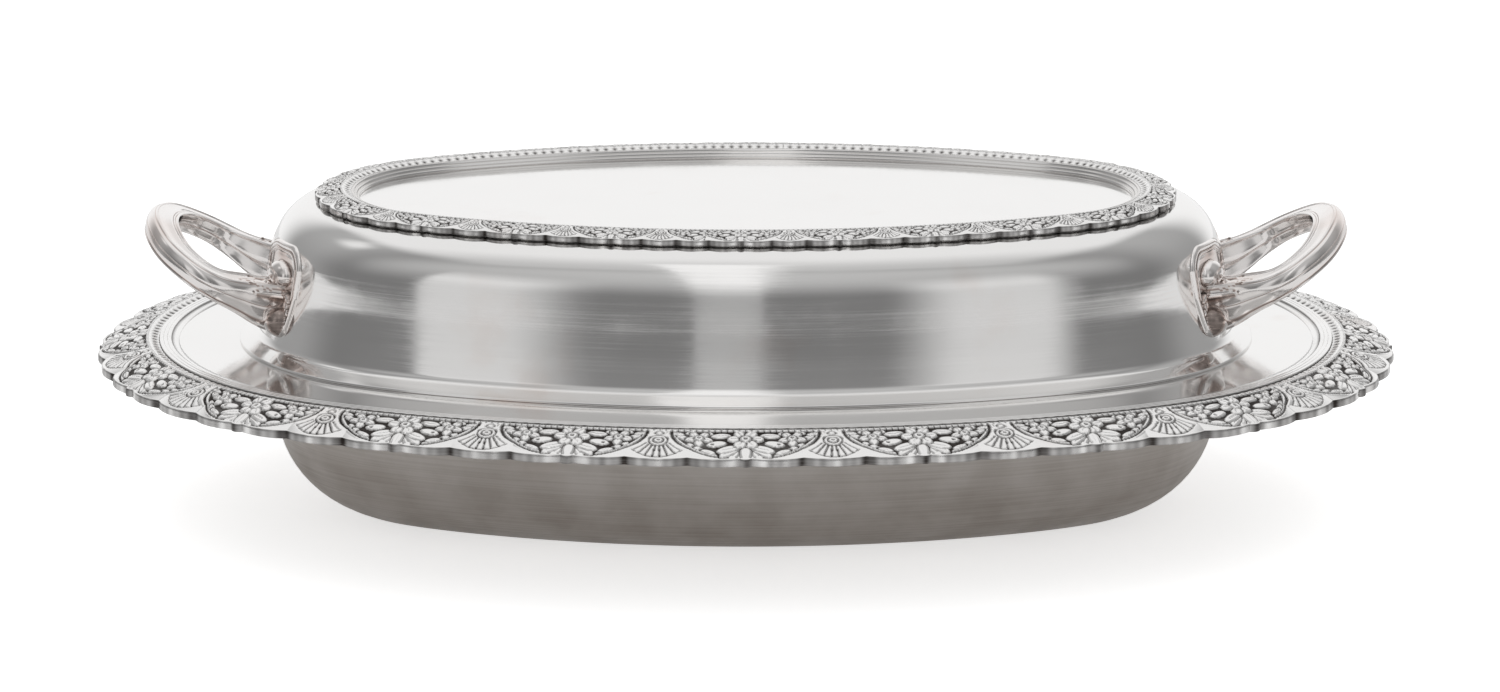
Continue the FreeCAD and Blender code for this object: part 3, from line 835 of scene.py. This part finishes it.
# Leaves on an arm near its root, as (across, length, half width), and the scoop there.
root_leaves = ((-2.3, 6.5, 1.0), (-0.2, 9.0, 1.3), (2.2, 7.5, 1.1), (4.6, 6.0, 1.2))
root_leaf_taper = 2.2
root_leaf_waist, root_leaf_waves = 0.72, 1.5
root_leaf_crown = 0.22
root_leaf_line = 0.16
# Outlines of the root leaves are darker: tarnish and painted shade.
root_leaf_hollow = 0.8
root_leaf_limit = 3.7
root_leaf_seam_gap = 0.4
root_depth = 2 * MM
top_half, top_inner_half, top_drop = 3, 3.6, 0.7
pocket_length, pocket_power = 6.5, 1.5
pocket_top, pocket_foot = (0.16, 0.4), (0.74, 0.9)
pocket_start = 1.4
pocket_squeeze = 0.5
# Painted shade in the scoop next to the wall.
pocket_shade = 0.25


def wall_station(height):
    """Station of the outside of the lid's wall at a height."""
    return np.interp(height, wall_profile[:, 1], wall_profile[:, 0])


def spline_path(controls, steps):
    """Smooth path near a row of control points, from the first one to the last."""
    full = np.vstack([2 * controls[0] - controls[1], controls,
                      2 * controls[-1] - controls[-2]])
    share = np.arange(steps) / steps
    weights = np.stack([(1 - share) ** 3, 3 * share ** 3 - 6 * share ** 2 + 4,
                        -3 * share ** 3 + 3 * share ** 2 + 3 * share + 1, share ** 3]) / 6
    spans = [weights.T @ full[index:index + 4] for index in range(len(full) - 3)]
    return np.vstack(spans + [controls[-1:]])


def loop_places():
    """Top points and depths of the strap, from the arm in front round to the back one."""
    start = lip_station - loop_root_inset
    foot = shelf_height + loop_foot_height
    arm = np.stack([start + np.array(loop_reach_shares) * loop_reach,
                    -np.array(loop_spread_shares) * loop_half_width,
                    foot + np.array(loop_rise_shares) * loop_rise,
                    loop_depth + np.array(loop_depth_shares) * (loop_foot_depth - loop_depth)],
                   1)
    back = arm[-2::-1] * (1, -1, 1, 1)
    return spline_path(np.vstack([arm, back]), loop_span_steps)


def bead_points(middle, drop, radius, steps):
    """Half round bead on the strap, as points of (across, drop, hollow)."""
    turn = np.linspace(0, math.pi, steps)
    return [(middle - radius * math.cos(a), drop - radius * math.sin(a), 0.0) for a in turn]


def upper_outline(seam):
    """Upper half of the strap's section, from the seam inside to the one outside."""
    beads = [bead_points(*bead) for bead in strap_beads]
    lines = [[line] for line in strap_lines]
    points = [(-strap_half + seam_inset, seam, seam_hollow),
              (-strap_half, seam - seam_gap, seam_gap_hollow)]
    points += [(-strap_half, seam + (strap_side_top - seam) * share, 0.0)
               for share in (0.35, 0.7, 1.0)]
    points += beads[0] + lines[0] + beads[1] + lines[1]
    points += [(channel_start + share * channel_width,
                channel_drop + channel_fall * share + channel_sag * math.sin(math.pi * share),
                0.0) for share in np.linspace(0, 1, 9)]
    points += lines[2] + beads[2] + lines[3]
    points += [(round_start + (strap_half - round_start) * math.sin(turn),
                round_drop + (seam - round_margin) * (1 - math.cos(turn)), 0.0)
               for turn in np.linspace(0.12, 1, 9) * math.pi / 2]
    return np.array(points + [(strap_half - seam_inset, seam, seam_hollow)])


def lower_outline(seam, depth):
    """Lower half of the strap's section, from the seam outside to the one inside."""
    lines = [[(strap_half - inset, depth * place, hollow)]
             for inset, place, hollow in under_lines]
    heel = depth * (1 - under_lift) - heel_radius
    points = [(strap_half - seam_inset, seam, seam_hollow),
              (strap_half, seam + seam_gap, seam_gap_hollow)]
    points += [(strap_half - side_draft * share ** 2,
                seam + (depth * side_end - seam) * share, 0.0) for share in (0.3, 0.6, 0.85)]
    points += lines[0]
    points += [(strap_half - under_bead_inset + under_bead_radius * math.cos(turn),
                depth * under_bead_place + under_bead_radius * math.sin(turn), 0.0)
               for turn in (np.linspace(0.1, 0.95, 6) - 0.2) * math.pi]
    points += lines[1]
    points += [(strap_half - under_start - share * (2 * strap_half - under_margin),
                depth * (1 - under_lift * share ** 3) - under_sag * math.sin(math.pi * share),
                0.0) for share in np.linspace(0, 1, 8)]
    points += [(-strap_half + heel_radius * (1 - math.sin(turn)),
                heel + heel_radius * math.cos(turn), 0.0)
               for turn in np.linspace(0.1, 1, 5) * math.pi / 2]
    points += [(-strap_half, seam + (heel - seam) * share, 0.0) for share in (0.66, 0.33)]
    return np.array(points + [(-strap_half, seam + seam_gap, seam_gap_hollow),
                              (-strap_half + seam_inset, seam, seam_hollow)])


def root_relief(away, across):
    """Raised leaves on an arm near its root: height and hollow at places in millimetres."""
    height = np.zeros(np.broadcast(away, across).shape)
    hollow = height.copy()
    waves = root_leaf_waist + (1 - root_leaf_waist) * np.abs(np.cos(away * root_leaf_waves))
    for middle, length, breadth in root_leaves:
        reach = np.clip(away / length, 0, 1)
        half = breadth * (1 - reach ** root_leaf_taper) * waves
        off = np.abs(across - middle)
        crown = root_leaf_crown * dome(off / np.maximum(half, 1e-6))
        height = np.where((off < half) & (away < length), crown, height)
        hollow = np.where((np.abs(off - half) < root_leaf_line) & (away < length), 1.0, hollow)
    return height, hollow


def root_pocket(away, depth_share):
    """How far the outer side of an arm is scooped out next to the wall."""
    near = np.clip(1 - away / pocket_length, 0, 1) ** pocket_power
    return (near * smooth_step(*pocket_top, depth_share)
            * (1 - smooth_step(*pocket_foot, depth_share)))


def strap_ring(half, depth, away):
    """Section of one half of the strap: across, drop and hollow, with the root's relief."""
    seam = depth / 2
    outline = upper_outline(seam) if half == "upper" else lower_outline(seam, depth)
    across, drop, hollow = outline.T
    if half == "upper":
        place = np.where(across > top_half, top_half + np.maximum(drop - top_drop, 0), across)
        place = np.where(across < -top_inner_half, -top_inner_half - drop, place)
        lift, line = root_relief(away, place)
        drop = drop - lift * (np.abs(across) < root_leaf_limit)
        across = across + lift * (across > top_half)
        line = root_leaf_hollow * line * (drop < seam - root_leaf_seam_gap)
        hollow = np.maximum(hollow * (1 - (lift > 0)), line)
    pocket = root_pocket(away, drop / depth) * (across > pocket_start)
    squeezed = pocket_start + (across - pocket_start) * (1 - pocket_squeeze * pocket)
    across = np.where(across > pocket_start, squeezed, across)
    # The scoop next to the wall gets painted shade.
    return across[:, None], drop[:, None], np.maximum(hollow, pocket_shade * pocket)


def make_loop(side_name, side, material):
    """Upper and lower halves of a loop, which end inside the sheet of the lid's wall."""
    places = loop_places()
    top, depth = places[:, :3], places[:, 3] / MM
    along = np.gradient(top, axis=0)
    along /= np.linalg.norm(along, axis=1)[:, None]
    lean = np.array([-math.sin(loop_tilt), 0, math.cos(loop_tilt)])
    outward = np.cross(along, lean)
    outward /= np.linalg.norm(outward, axis=1)[:, None]
    upward = np.cross(outward, along)
    run = np.concatenate([[0], np.cumsum(np.linalg.norm(np.diff(top, axis=0), axis=1))]) / MM
    root = run[np.argmax(top[:, 0] > wall_station(top[:, 2]) - root_depth)]
    away = np.maximum(np.minimum(run, run[-1] - run) - root, 0)
    for half in ("upper", "lower"):
        rings, hollows = [], []
        for index in range(len(top)):
            across, drop, hollow = strap_ring(half, depth[index], away[index])
            rings.append(top[index] + (across * outward[index] - drop * upward[index]) * MM)
            hollows.append(hollow)
        grid = np.stack(rings)
        station = end_centre + np.hypot(grid[..., 0] - end_centre, grid[..., 1])
        wall = wall_station(grid[..., 2]) - sheet_bite
        inside = station < wall
        scale = (wall - end_centre) / np.maximum(station - end_centre, MM)
        grid[..., 0] = np.where(inside, end_centre + (grid[..., 0] - end_centre) * scale,
                                grid[..., 0])
        grid[..., 1] = np.where(inside, grid[..., 1] * scale, grid[..., 1])
        outer = np.flatnonzero(~inside.all(axis=1))
        kept = slice(max(outer[0] - 1, 0), outer[-1] + 2)
        grid, hollow = grid[kept], np.stack(hollows)[kept]
        rows, columns = grid.shape[:2]
        faces = grid_faces(rows, columns, False, True)
        last = (rows - 1) * columns
        faces.append(list(range(columns))[::-1])
        faces.append(list(range(last, last + columns)))
        points = (grid * (side, side, 1)).reshape(-1, 3)
        made = mesh_object(f"{side_name}_loop_{half}", points, faces, hollow)
        stand_for(made, f"handle_{side_name}_loop_{half}", "lid", material)


# Base plates, drawn on the unrolled end of the lid in millimetres: across from its
# middle, and height. The outline's corners are (across, height, radius), and its ribs
# (place inside the outline, half width, foot, rise). Lines are (place, spread, hollow).
base_half_outline = (
    (3.6, 68.8, 4), (12.5, 72.2, 8), (28.9, 73.2, 9.5), (28.2, 60, 6), (26.2, 49.4, 3.2),
    (17.5, 48.8, 3.2), (13.5, 57, 4),
)
base_grid_step = 0.16
base_half_width = 29.6
base_foot, base_top = 48.4, 73.4
base_slack = 0.9
base_bed = 0.3
base_rim_round = 0.3
base_ribs = ((0.85, 0.85, 0, 0.72), (2.05, 0.34, 0.28, 0.26))
# Lines round the ribs, the boss and the leaves are darker: tarnish and painted shade.
base_lines = ((1.7, 0.13, 0.9), (2.42, 0.12, 0.6))
# Painted shade in the cove of the bed inside the ribs, and in the recess above the boss.
bed_shade = 0.28
bed_shade_start, bed_shade_end = (2.8, 3.4), (5.0, 6.5)
cove_place, cove_size, cove_shade = (17.5, 69.8), (3.2, 1.0), 0.6
boss_place, boss_size, boss_height = (19.8, 64.7), (4.9, 3.4), 3.3
boss_line = (1.05, 0.05, 0.5)
knob_place, knob_size, knob_height = (22.6, 53.0), (3.5, 3.9), 4.2
# Painted shade on the knob's outer side: its darkness, where it starts and ends, and the lean
# of its edge.
knob_shade, knob_shade_side, knob_shade_lean = 0.72, (-0.2, 1.6), 0.3
foot_leaves = (((24.2, 59.8), (2.4, 0.8), -35, 0.9), ((25.0, 57.4), (2.6, 0.75), -62, 0.8),
               ((22.2, 60.2), (2.2, 0.8), 12, 1.2))
foot_leaf_crown, foot_leaf_round = 0.4, 0.8
foot_leaf_line = (0.08, 0.12, 0.9)
middle_leaf_place, middle_leaf_size = (0, 62.4), (3.2, 5.6)
middle_leaf_foot, middle_leaf_crown = 0.4, 0.8
middle_leaf_line = (1.03, 0.05, 0.6)
vein_depth, vein_waves = 0.12, (1.2, 2.2)
slope_step = 0.2 * MM


def outline_depth(across, height):
    """How far inside the plate's outline a place lies, negative outside, in millimetres."""
    corners = list(base_half_outline)
    corners += [(-a, z, radius) for a, z, radius in corners[::-1]]
    ring = bend_path([(a * MM, z * MM, radius * MM) for a, z, radius in corners], True,
                     bend_steps=14, longest=30 * MM) / MM
    following = np.roll(ring, -1, 0)
    nearest = np.full(across.shape, np.inf)
    crossings = np.zeros(across.shape, int)
    for (x0, y0), (x1, y1) in zip(ring, following):
        length = max((x1 - x0) ** 2 + (y1 - y0) ** 2, 1e-12)
        share = np.clip(((across - x0) * (x1 - x0) + (height - y0) * (y1 - y0)) / length, 0, 1)
        gap = np.hypot(across - x0 - share * (x1 - x0), height - y0 - share * (y1 - y0))
        nearest = np.minimum(nearest, gap)
        if y0 != y1:
            spans = (y0 > height) != (y1 > height)
            crossings += spans & (across < x0 + (height - y0) / (y1 - y0) * (x1 - x0))
    return np.where(crossings % 2 == 1, nearest, -nearest)


def base_relief(across, height):
    """Thickness and hollow of the base plate over the lid's wall, in millimetres."""
    depth = outline_depth(across, height)
    side = np.abs(across)

    def oval_share(place, size):
        return np.hypot((side - place[0]) / size[0], (height - place[1]) / size[1])

    def line(value, middle, spread, level):
        return level * bell(value, middle, spread)

    thick = base_bed * smooth_step(0, 1, depth)
    for middle, half, level, rise in base_ribs:
        off = (depth - middle) / half
        rib = level + rise * dome(off)
        thick = np.where(np.abs(off) < 1, np.maximum(rib, thick), thick)
    # Darker lines: tarnish and painted shade.
    hollow = sum(line(depth, *base_line) for base_line in base_lines)
    # Painted shade in the bed inside the ribs, and above the boss.
    hollow += (bed_shade * smooth_step(*bed_shade_start, depth)
               * (1 - smooth_step(*bed_shade_end, depth)))
    hollow += line(oval_share(cove_place, cove_size), 0, 1, cove_shade)
    boss = oval_share(boss_place, boss_size)
    thick = np.where(boss < 1, np.maximum(thick, base_bed + boss_height * dome(boss)), thick)
    hollow = np.where(boss < 1, 0, hollow) + line(boss, *boss_line)
    knob = oval_share(knob_place, knob_size)
    thick = np.where(knob < 1, np.maximum(thick, knob_height * dome(knob)), thick)
    # Painted shade: the knob's outer side is darker.
    outward = side - knob_place[0] + knob_shade_lean * (height - knob_place[1])
    hollow = np.where(knob < 1, knob_shade * smooth_step(*knob_shade_side, outward), hollow)
    for place, size, tilt, level in foot_leaves:
        off = oval_distance(side, height, place, size, tilt)
        leaf = level + foot_leaf_crown * np.sqrt(np.clip(-off / foot_leaf_round, 0, 1))
        thick = np.where(off < 0, np.maximum(thick, leaf), thick)
        hollow = np.maximum(hollow, line(off, *foot_leaf_line))
    middle_leaf = oval_share(middle_leaf_place, middle_leaf_size)
    veins = vein_depth * np.abs(np.sin(side * vein_waves[0] + height * vein_waves[1]))
    leaf = middle_leaf_foot + middle_leaf_crown * dome(middle_leaf) - veins
    thick = np.where(middle_leaf < 1, np.maximum(thick, leaf), thick)
    hollow += line(middle_leaf, *middle_leaf_line)
    rim = np.clip(depth / base_rim_round, -1, 1)
    thick = np.where(depth > 0, thick * np.sqrt(np.clip(rim, 0, 1)), rim)
    return thick, np.clip(hollow, 0, 1)


def make_base(side_name, side, material):
    """Base plate as a relief over the lid's wall, backed inside the wall's sheet."""
    across, height = np.meshgrid(np.arange(-base_half_width, base_half_width, base_grid_step),
                                 np.arange(base_foot, base_top, base_grid_step))
    thick, hollow = base_relief(across, height)
    keep = thick > -base_slack
    thick = np.maximum(thick * MM, -sheet_bite)
    z = height * MM
    station = wall_station(z)
    slope = (wall_station(z + slope_step) - wall_station(z - slope_step)) / (2 * slope_step)
    norm = np.hypot(1, slope)
    turn = np.arcsin(across * MM / (station - end_centre))

    def layer(out):
        x, y = oval_xy(turn, station + out / norm)
        return np.stack([x, y, z - out * slope / norm], -1).reshape(-1, 3)

    points = np.concatenate([layer(thick), layer(np.full_like(thick, -2 * sheet_bite))])
    rows, columns = across.shape
    cell = keep[:-1, :-1] & keep[1:, :-1] & keep[:-1, 1:] & keep[1:, 1:]
    quads = np.array(grid_faces(rows, columns, False, False))[cell.ravel()]
    shift = rows * columns
    faces = quads.tolist() + (quads[:, ::-1] + shift).tolist()
    edges = np.concatenate([quads[:, [corner, (corner + 1) % 4]] for corner in range(4)])
    used = {(a, b) for a, b in edges.tolist()}
    for a, b in sorted(used):
        if (b, a) not in used:
            faces.append([b, a, a + shift, b + shift])
    hollow = np.concatenate([hollow.ravel(), np.zeros(shift)])
    kept = np.unique(np.concatenate([quads.ravel(), quads.ravel() + shift]))
    order = np.zeros(2 * shift, int)
    order[kept] = np.arange(len(kept))
    faces = [[int(order[number]) for number in face] for face in faces]
    made = mesh_object(f"{side_name}_handle_base", points[kept] * (side, side, 1), faces,
                       hollow[kept])
    stand_for(made, f"handle_{side_name}_base", "lid", material)


class Graph:
    """Nodes of a material or of the world, with short ways to add the ones used here."""

    def __init__(self, tree):
        self.nodes, self.links = tree.nodes, tree.links

    def feed(self, socket, part):
        """Gives a socket what it takes: another socket's output, a colour or a number."""
        if isinstance(part, bpy.types.NodeSocket):
            self.links.new(part, socket)
        else:
            socket.default_value = (*part, 1) if isinstance(part, tuple) else part

    def noise(self, place, scale, detail=4.0, stretch=None):
        """Noise over places, stretched first if asked."""
        if stretch:
            mapping = self.nodes.new("ShaderNodeMapping")
            mapping.inputs["Scale"].default_value = stretch
            self.feed(mapping.inputs["Vector"], place)
            place = mapping.outputs["Vector"]
        noise = self.nodes.new("ShaderNodeTexNoise")
        for socket, part in (("Scale", scale), ("Detail", detail), ("Vector", place)):
            self.feed(noise.inputs[socket], part)
        return noise.outputs["Fac"]

    def ramp(self, value, low, high, to_low=0.0, to_high=1.0):
        """Smooth change from one level to another, between two values."""
        mapped = self.nodes.new("ShaderNodeMapRange")
        mapped.interpolation_type = "SMOOTHSTEP"
        for socket, part in (("Value", value), ("From Min", low), ("From Max", high),
                             ("To Min", to_low), ("To Max", to_high)):
            self.feed(mapped.inputs[socket], part)
        return mapped.outputs["Result"]

    def mix(self, factor, first, second):
        """Mix of two colours."""
        mix = self.nodes.new("ShaderNodeMix")
        mix.data_type = "RGBA"
        self.feed(mix.inputs["Factor"], factor)
        for name, part in (("A", first), ("B", second)):
            self.feed(next(s for s in mix.inputs if s.name == name and s.type == "RGBA"), part)
        return next(s for s in mix.outputs if s.type == "RGBA")

    def join(self, operation, total, *values):
        """Chain of a math operation over sockets and numbers, or the operation on one."""
        for value in values or (None,):
            node = self.nodes.new("ShaderNodeMath")
            node.operation = operation
            self.feed(node.inputs[0], total)
            if value is not None:
                self.feed(node.inputs[1], value)
            total = node.outputs[0]
        return total

    def bump(self, height, distance, normal=None):
        """Normal that is tipped by small waves, on top of another one if given."""
        bump = self.nodes.new("ShaderNodeBump")
        bump.inputs["Strength"].default_value = bump_strength
        bump.inputs["Distance"].default_value = distance
        self.feed(bump.inputs["Height"], height)
        if normal:
            self.feed(bump.inputs["Normal"], normal)
        return bump.outputs["Normal"]


def new_material(name):
    made = bpy.data.materials.new(name)
    made.use_nodes = True
    return made, Graph(made.node_tree), made.node_tree.nodes["Principled BSDF"]


# Silver plate. Ramps are (from, to, value there, value here), over noise or hollow.
cloud_scale = 28
worn_scale, worn_detail = 75, 6
scratch_scale, scratch_stretch = 1, (26, 26, 2900)
worn_range = (0.35, 0.75)
cloud_end = 0.78
patch_ramp = (0.3, 0.7, 0.92, 1.06)
streak_ramp = (0.3, 0.7, 0.94, 1.04)
half_ramp, full_ramp = (0, 0.5), (0.4, 1)
dulling = (0, 1, 0, 0.35)
brushing = (0.4, 0.7, 0, 0.05)
bump_strength = 0.3
scratch_depth = 0.006 * MM
wave_depth = 0.12 * MM
# Darkest hollow colour: tarnish, and painted shade.
tarnish_and_shade = (0.05, 0.042, 0.038)


def silver(name, colour, warm, roughness, warm_from, hollow_colour, half_colour=None):
    """Silver plate with fine scratches, cloudy polish and warm worn places, darkened by its
    hollow attribute towards its hollow colour: tarnish, painted shade and painted reflection.
    """
    made, graph, shader = new_material(name)
    shader.inputs["Metallic"].default_value = 1.0
    place = graph.nodes.new("ShaderNodeTexCoord").outputs["Object"]
    clouds = graph.noise(place, cloud_scale)
    worn = graph.noise(place, worn_scale, worn_detail)
    scratches = graph.noise(place, scratch_scale, stretch=scratch_stretch)
    hollow = graph.nodes.new("ShaderNodeAttribute")
    hollow.attribute_name = "hollow"
    dark = graph.join("MULTIPLY", hollow.outputs["Fac"], graph.ramp(worn, *patch_ramp),
                      graph.ramp(scratches, *streak_ramp))
    base = graph.mix(graph.ramp(clouds, warm_from, cloud_end), colour, warm)
    if half_colour:
        base = graph.mix(graph.ramp(dark, *half_ramp), base, half_colour)
        dark = graph.ramp(dark, *full_ramp)
    base = graph.mix(dark, base, hollow_colour)
    rough = graph.join("ADD", graph.ramp(worn, *worn_range, *roughness),
                       graph.ramp(dark, *dulling), graph.ramp(scratches, *brushing))
    dents = graph.bump(scratches, scratch_depth)
    graph.feed(shader.inputs["Base Color"], base)
    graph.feed(shader.inputs["Roughness"], rough)
    graph.feed(shader.inputs["Normal"], graph.bump(clouds, wave_depth, dents))
    return made


bright = silver("silver_bright", (0.90, 0.89, 0.88), (0.85, 0.80, 0.77), (0.07, 0.12), 0.6,
                (0.42, 0.38, 0.35))
# The pan's outside: its hollow colour gives the dull finish and the painted shade towards the
# foot.
dull_and_shade = silver("silver_dull_and_shaded_outside", (0.91, 0.90, 0.89), (0.84, 0.78, 0.75), (0.05, 0.09), 0.6,
              (0.36, 0.325, 0.295))
stamped = silver("silver_stamped", (0.92, 0.91, 0.90), (0.86, 0.80, 0.77), (0.12, 0.22), 0.55,
                 tarnish_and_shade)
# Cast pieces pass through a brown half colour on the way to the hollow colour: tarnish and
# painted shade.
cast = silver("silver_cast", (0.90, 0.87, 0.855), (0.78, 0.68, 0.635), (0.08, 0.15), 0.5,
              tarnish_and_shade, (0.66, 0.55, 0.505))

make_pan(dull_and_shade)
make_reeding(stamped)
make_dish_border(stamped)
make_shell(bright)
make_moulding(bright)
make_lid_border(stamped)
for side_name, side in (("right", 1), ("left", -1)):
    make_loop(side_name, side, cast)
    make_base(side_name, side, cast)
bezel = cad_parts["lid_bezel"]
bezel.data.materials.clear()
bezel.data.materials.append(bright)

# Floor and camera. The view is the one fitted to the photo, straight from the front.
floor_radius = 0.95
floor_corners = 96
floor_colour = (0.93, 0.93, 0.93)
floor_roughness = 0.9
floor_shadow_reach = 85 * MM
floor_shadow = (0.0, 0.95, 0.61, 0.84)
floor_in_metal = 0.25
camera_distance = 1.8
camera_elevation = math.radians(14.37)
aim = (1.05 * MM, 0, 40.9 * MM)
frame_width_there = 382.9 * MM

# World, by direction: x is right, y away from the camera, z up, and turn and rise are in
# degrees round from the camera's side and up. Ramps are (from, to, value there, value
# here). Windows seen in the metal are left and right edges, the fades outside them and
# below and above, low and high edges, and level.
world_windows = (
    (-45.5, -34, (2.5, 15, 8, 26), -10, 20, 0.47),
    (30, 41, (12, 8, 8, 28), -10, 18, 0.47),
    (-114, -108, (16, 16, 10, 9), 48, 51, 0.42),
)
sky_by_height, sky_by_depth = (0.1, 0.85, 0, 0.33), (-0.5, -0.1, 1, 0.3)
room_by_depth = (-0.25, 0.35, 0.2, 0.34)
back_depth, back_level = (0.6, 0.92), 0.96
over_slope, over_height, over_side = (-0.40, -0.31), (0.25, 0.45), (0.42, 0.62, 1, 0)
over_by_depth = (-0.3, 0.3, 0.55, 0.86)
front_shift, front_side = 0.04, (0.075, 0.085, 1, 0)
front_depth, front_rise = (-0.05, 0, 1, 0), (-14, -8)
front_by_rise = (4, 50, 0.43, 0.96)


def make_floor():
    """White floor. What the camera and the metal see of it is lifted towards white."""
    turn = np.linspace(0, 2 * math.pi, floor_corners, endpoint=False)
    points = np.stack([floor_radius * np.cos(turn), floor_radius * np.sin(turn), 0 * turn], -1)
    made = mesh_object("floor", points, [list(range(floor_corners))])
    material, graph, shader = new_material("floor_white")
    for socket, part in (("Base Color", floor_colour), ("Roughness", floor_roughness),
                         ("Specular IOR Level", 0.0), ("Emission Color", (1, 1, 1))):
        graph.feed(shader.inputs[socket], part)
    seen = graph.nodes.new("ShaderNodeLightPath").outputs
    shown = graph.join("MAXIMUM", seen["Is Camera Ray"], seen["Is Transmission Ray"])
    shadow = graph.nodes.new("ShaderNodeAmbientOcclusion")
    shadow.inputs["Distance"].default_value = floor_shadow_reach
    lift = graph.join("MULTIPLY", shown, graph.ramp(shadow.outputs["AO"], *floor_shadow))
    mirrored = graph.join("MULTIPLY", seen["Is Glossy Ray"], floor_in_metal)
    graph.feed(shader.inputs["Emission Strength"], graph.join("MAXIMUM", lift, mirrored))
    made.data.materials.append(material)


def make_world():
    """Pale studio: bright behind and above, dim low on the camera's side."""
    world = bpy.data.worlds.new("studio")
    bpy.context.scene.world = world
    world.use_nodes = True
    graph = Graph(world.node_tree)
    ramp, join = graph.ramp, graph.join
    parts = graph.nodes.new("ShaderNodeSeparateXYZ")
    graph.feed(parts.inputs[0], graph.nodes.new("ShaderNodeTexCoord").outputs["Generated"])
    x, y, z = parts.outputs

    def cover(under, share, over):
        return join("ADD", join("MULTIPLY", under, join("SUBTRACT", 1, share)),
                    join("MULTIPLY", share, over))

    turn = join("MULTIPLY", join("ARCTAN2", x, join("MULTIPLY", y, -1)), 180 / math.pi)
    rise = join("MULTIPLY", join("ARCSINE", z), 180 / math.pi)
    level = join("ADD", join("MULTIPLY", ramp(z, *sky_by_height), ramp(y, *sky_by_depth)),
                 ramp(y, *room_by_depth))
    for left, right, fades, low, high, size in world_windows:
        share = join("MULTIPLY", ramp(turn, left - fades[0], left),
                     ramp(turn, right, right + fades[1], 1, 0),
                     ramp(rise, low - fades[2], low), ramp(rise, high, high + fades[3], 1, 0))
        level = join("ADD", level, join("MULTIPLY", share, size))
    level = cover(level, ramp(y, *back_depth), back_level)
    beside = join("DIVIDE", join("ABSOLUTE", x), z)
    over = join("MULTIPLY", ramp(join("DIVIDE", y, z), *over_slope), ramp(z, *over_height),
                ramp(beside, *over_side))
    level = cover(level, over, ramp(y, *over_by_depth))
    beside = join("ABSOLUTE", join("ADD", x, front_shift))
    front = join("MULTIPLY", ramp(beside, *front_side), ramp(y, *front_depth),
                 ramp(rise, *front_rise))
    level = cover(level, front, ramp(rise, *front_by_rise))
    seen = graph.nodes.new("ShaderNodeLightPath").outputs["Is Camera Ray"]
    graph.feed(graph.nodes["Background"].inputs["Color"], graph.mix(seen, level, (1, 1, 1)))


def make_camera():
    camera = bpy.data.cameras.new("camera")
    camera.lens = camera.sensor_width * camera_distance / frame_width_there
    made = bpy.data.objects.new("camera", camera)
    made.location = (aim[0], -camera_distance * math.cos(camera_elevation),
                     aim[2] + camera_distance * math.sin(camera_elevation))
    made.rotation_euler = (math.pi / 2 - camera_elevation, 0, 0)
    bpy.context.scene.collection.objects.link(made)
    bpy.context.scene.camera = made


make_floor()
make_world()
make_camera()
bpy.context.scene.view_settings.view_transform = "Standard"
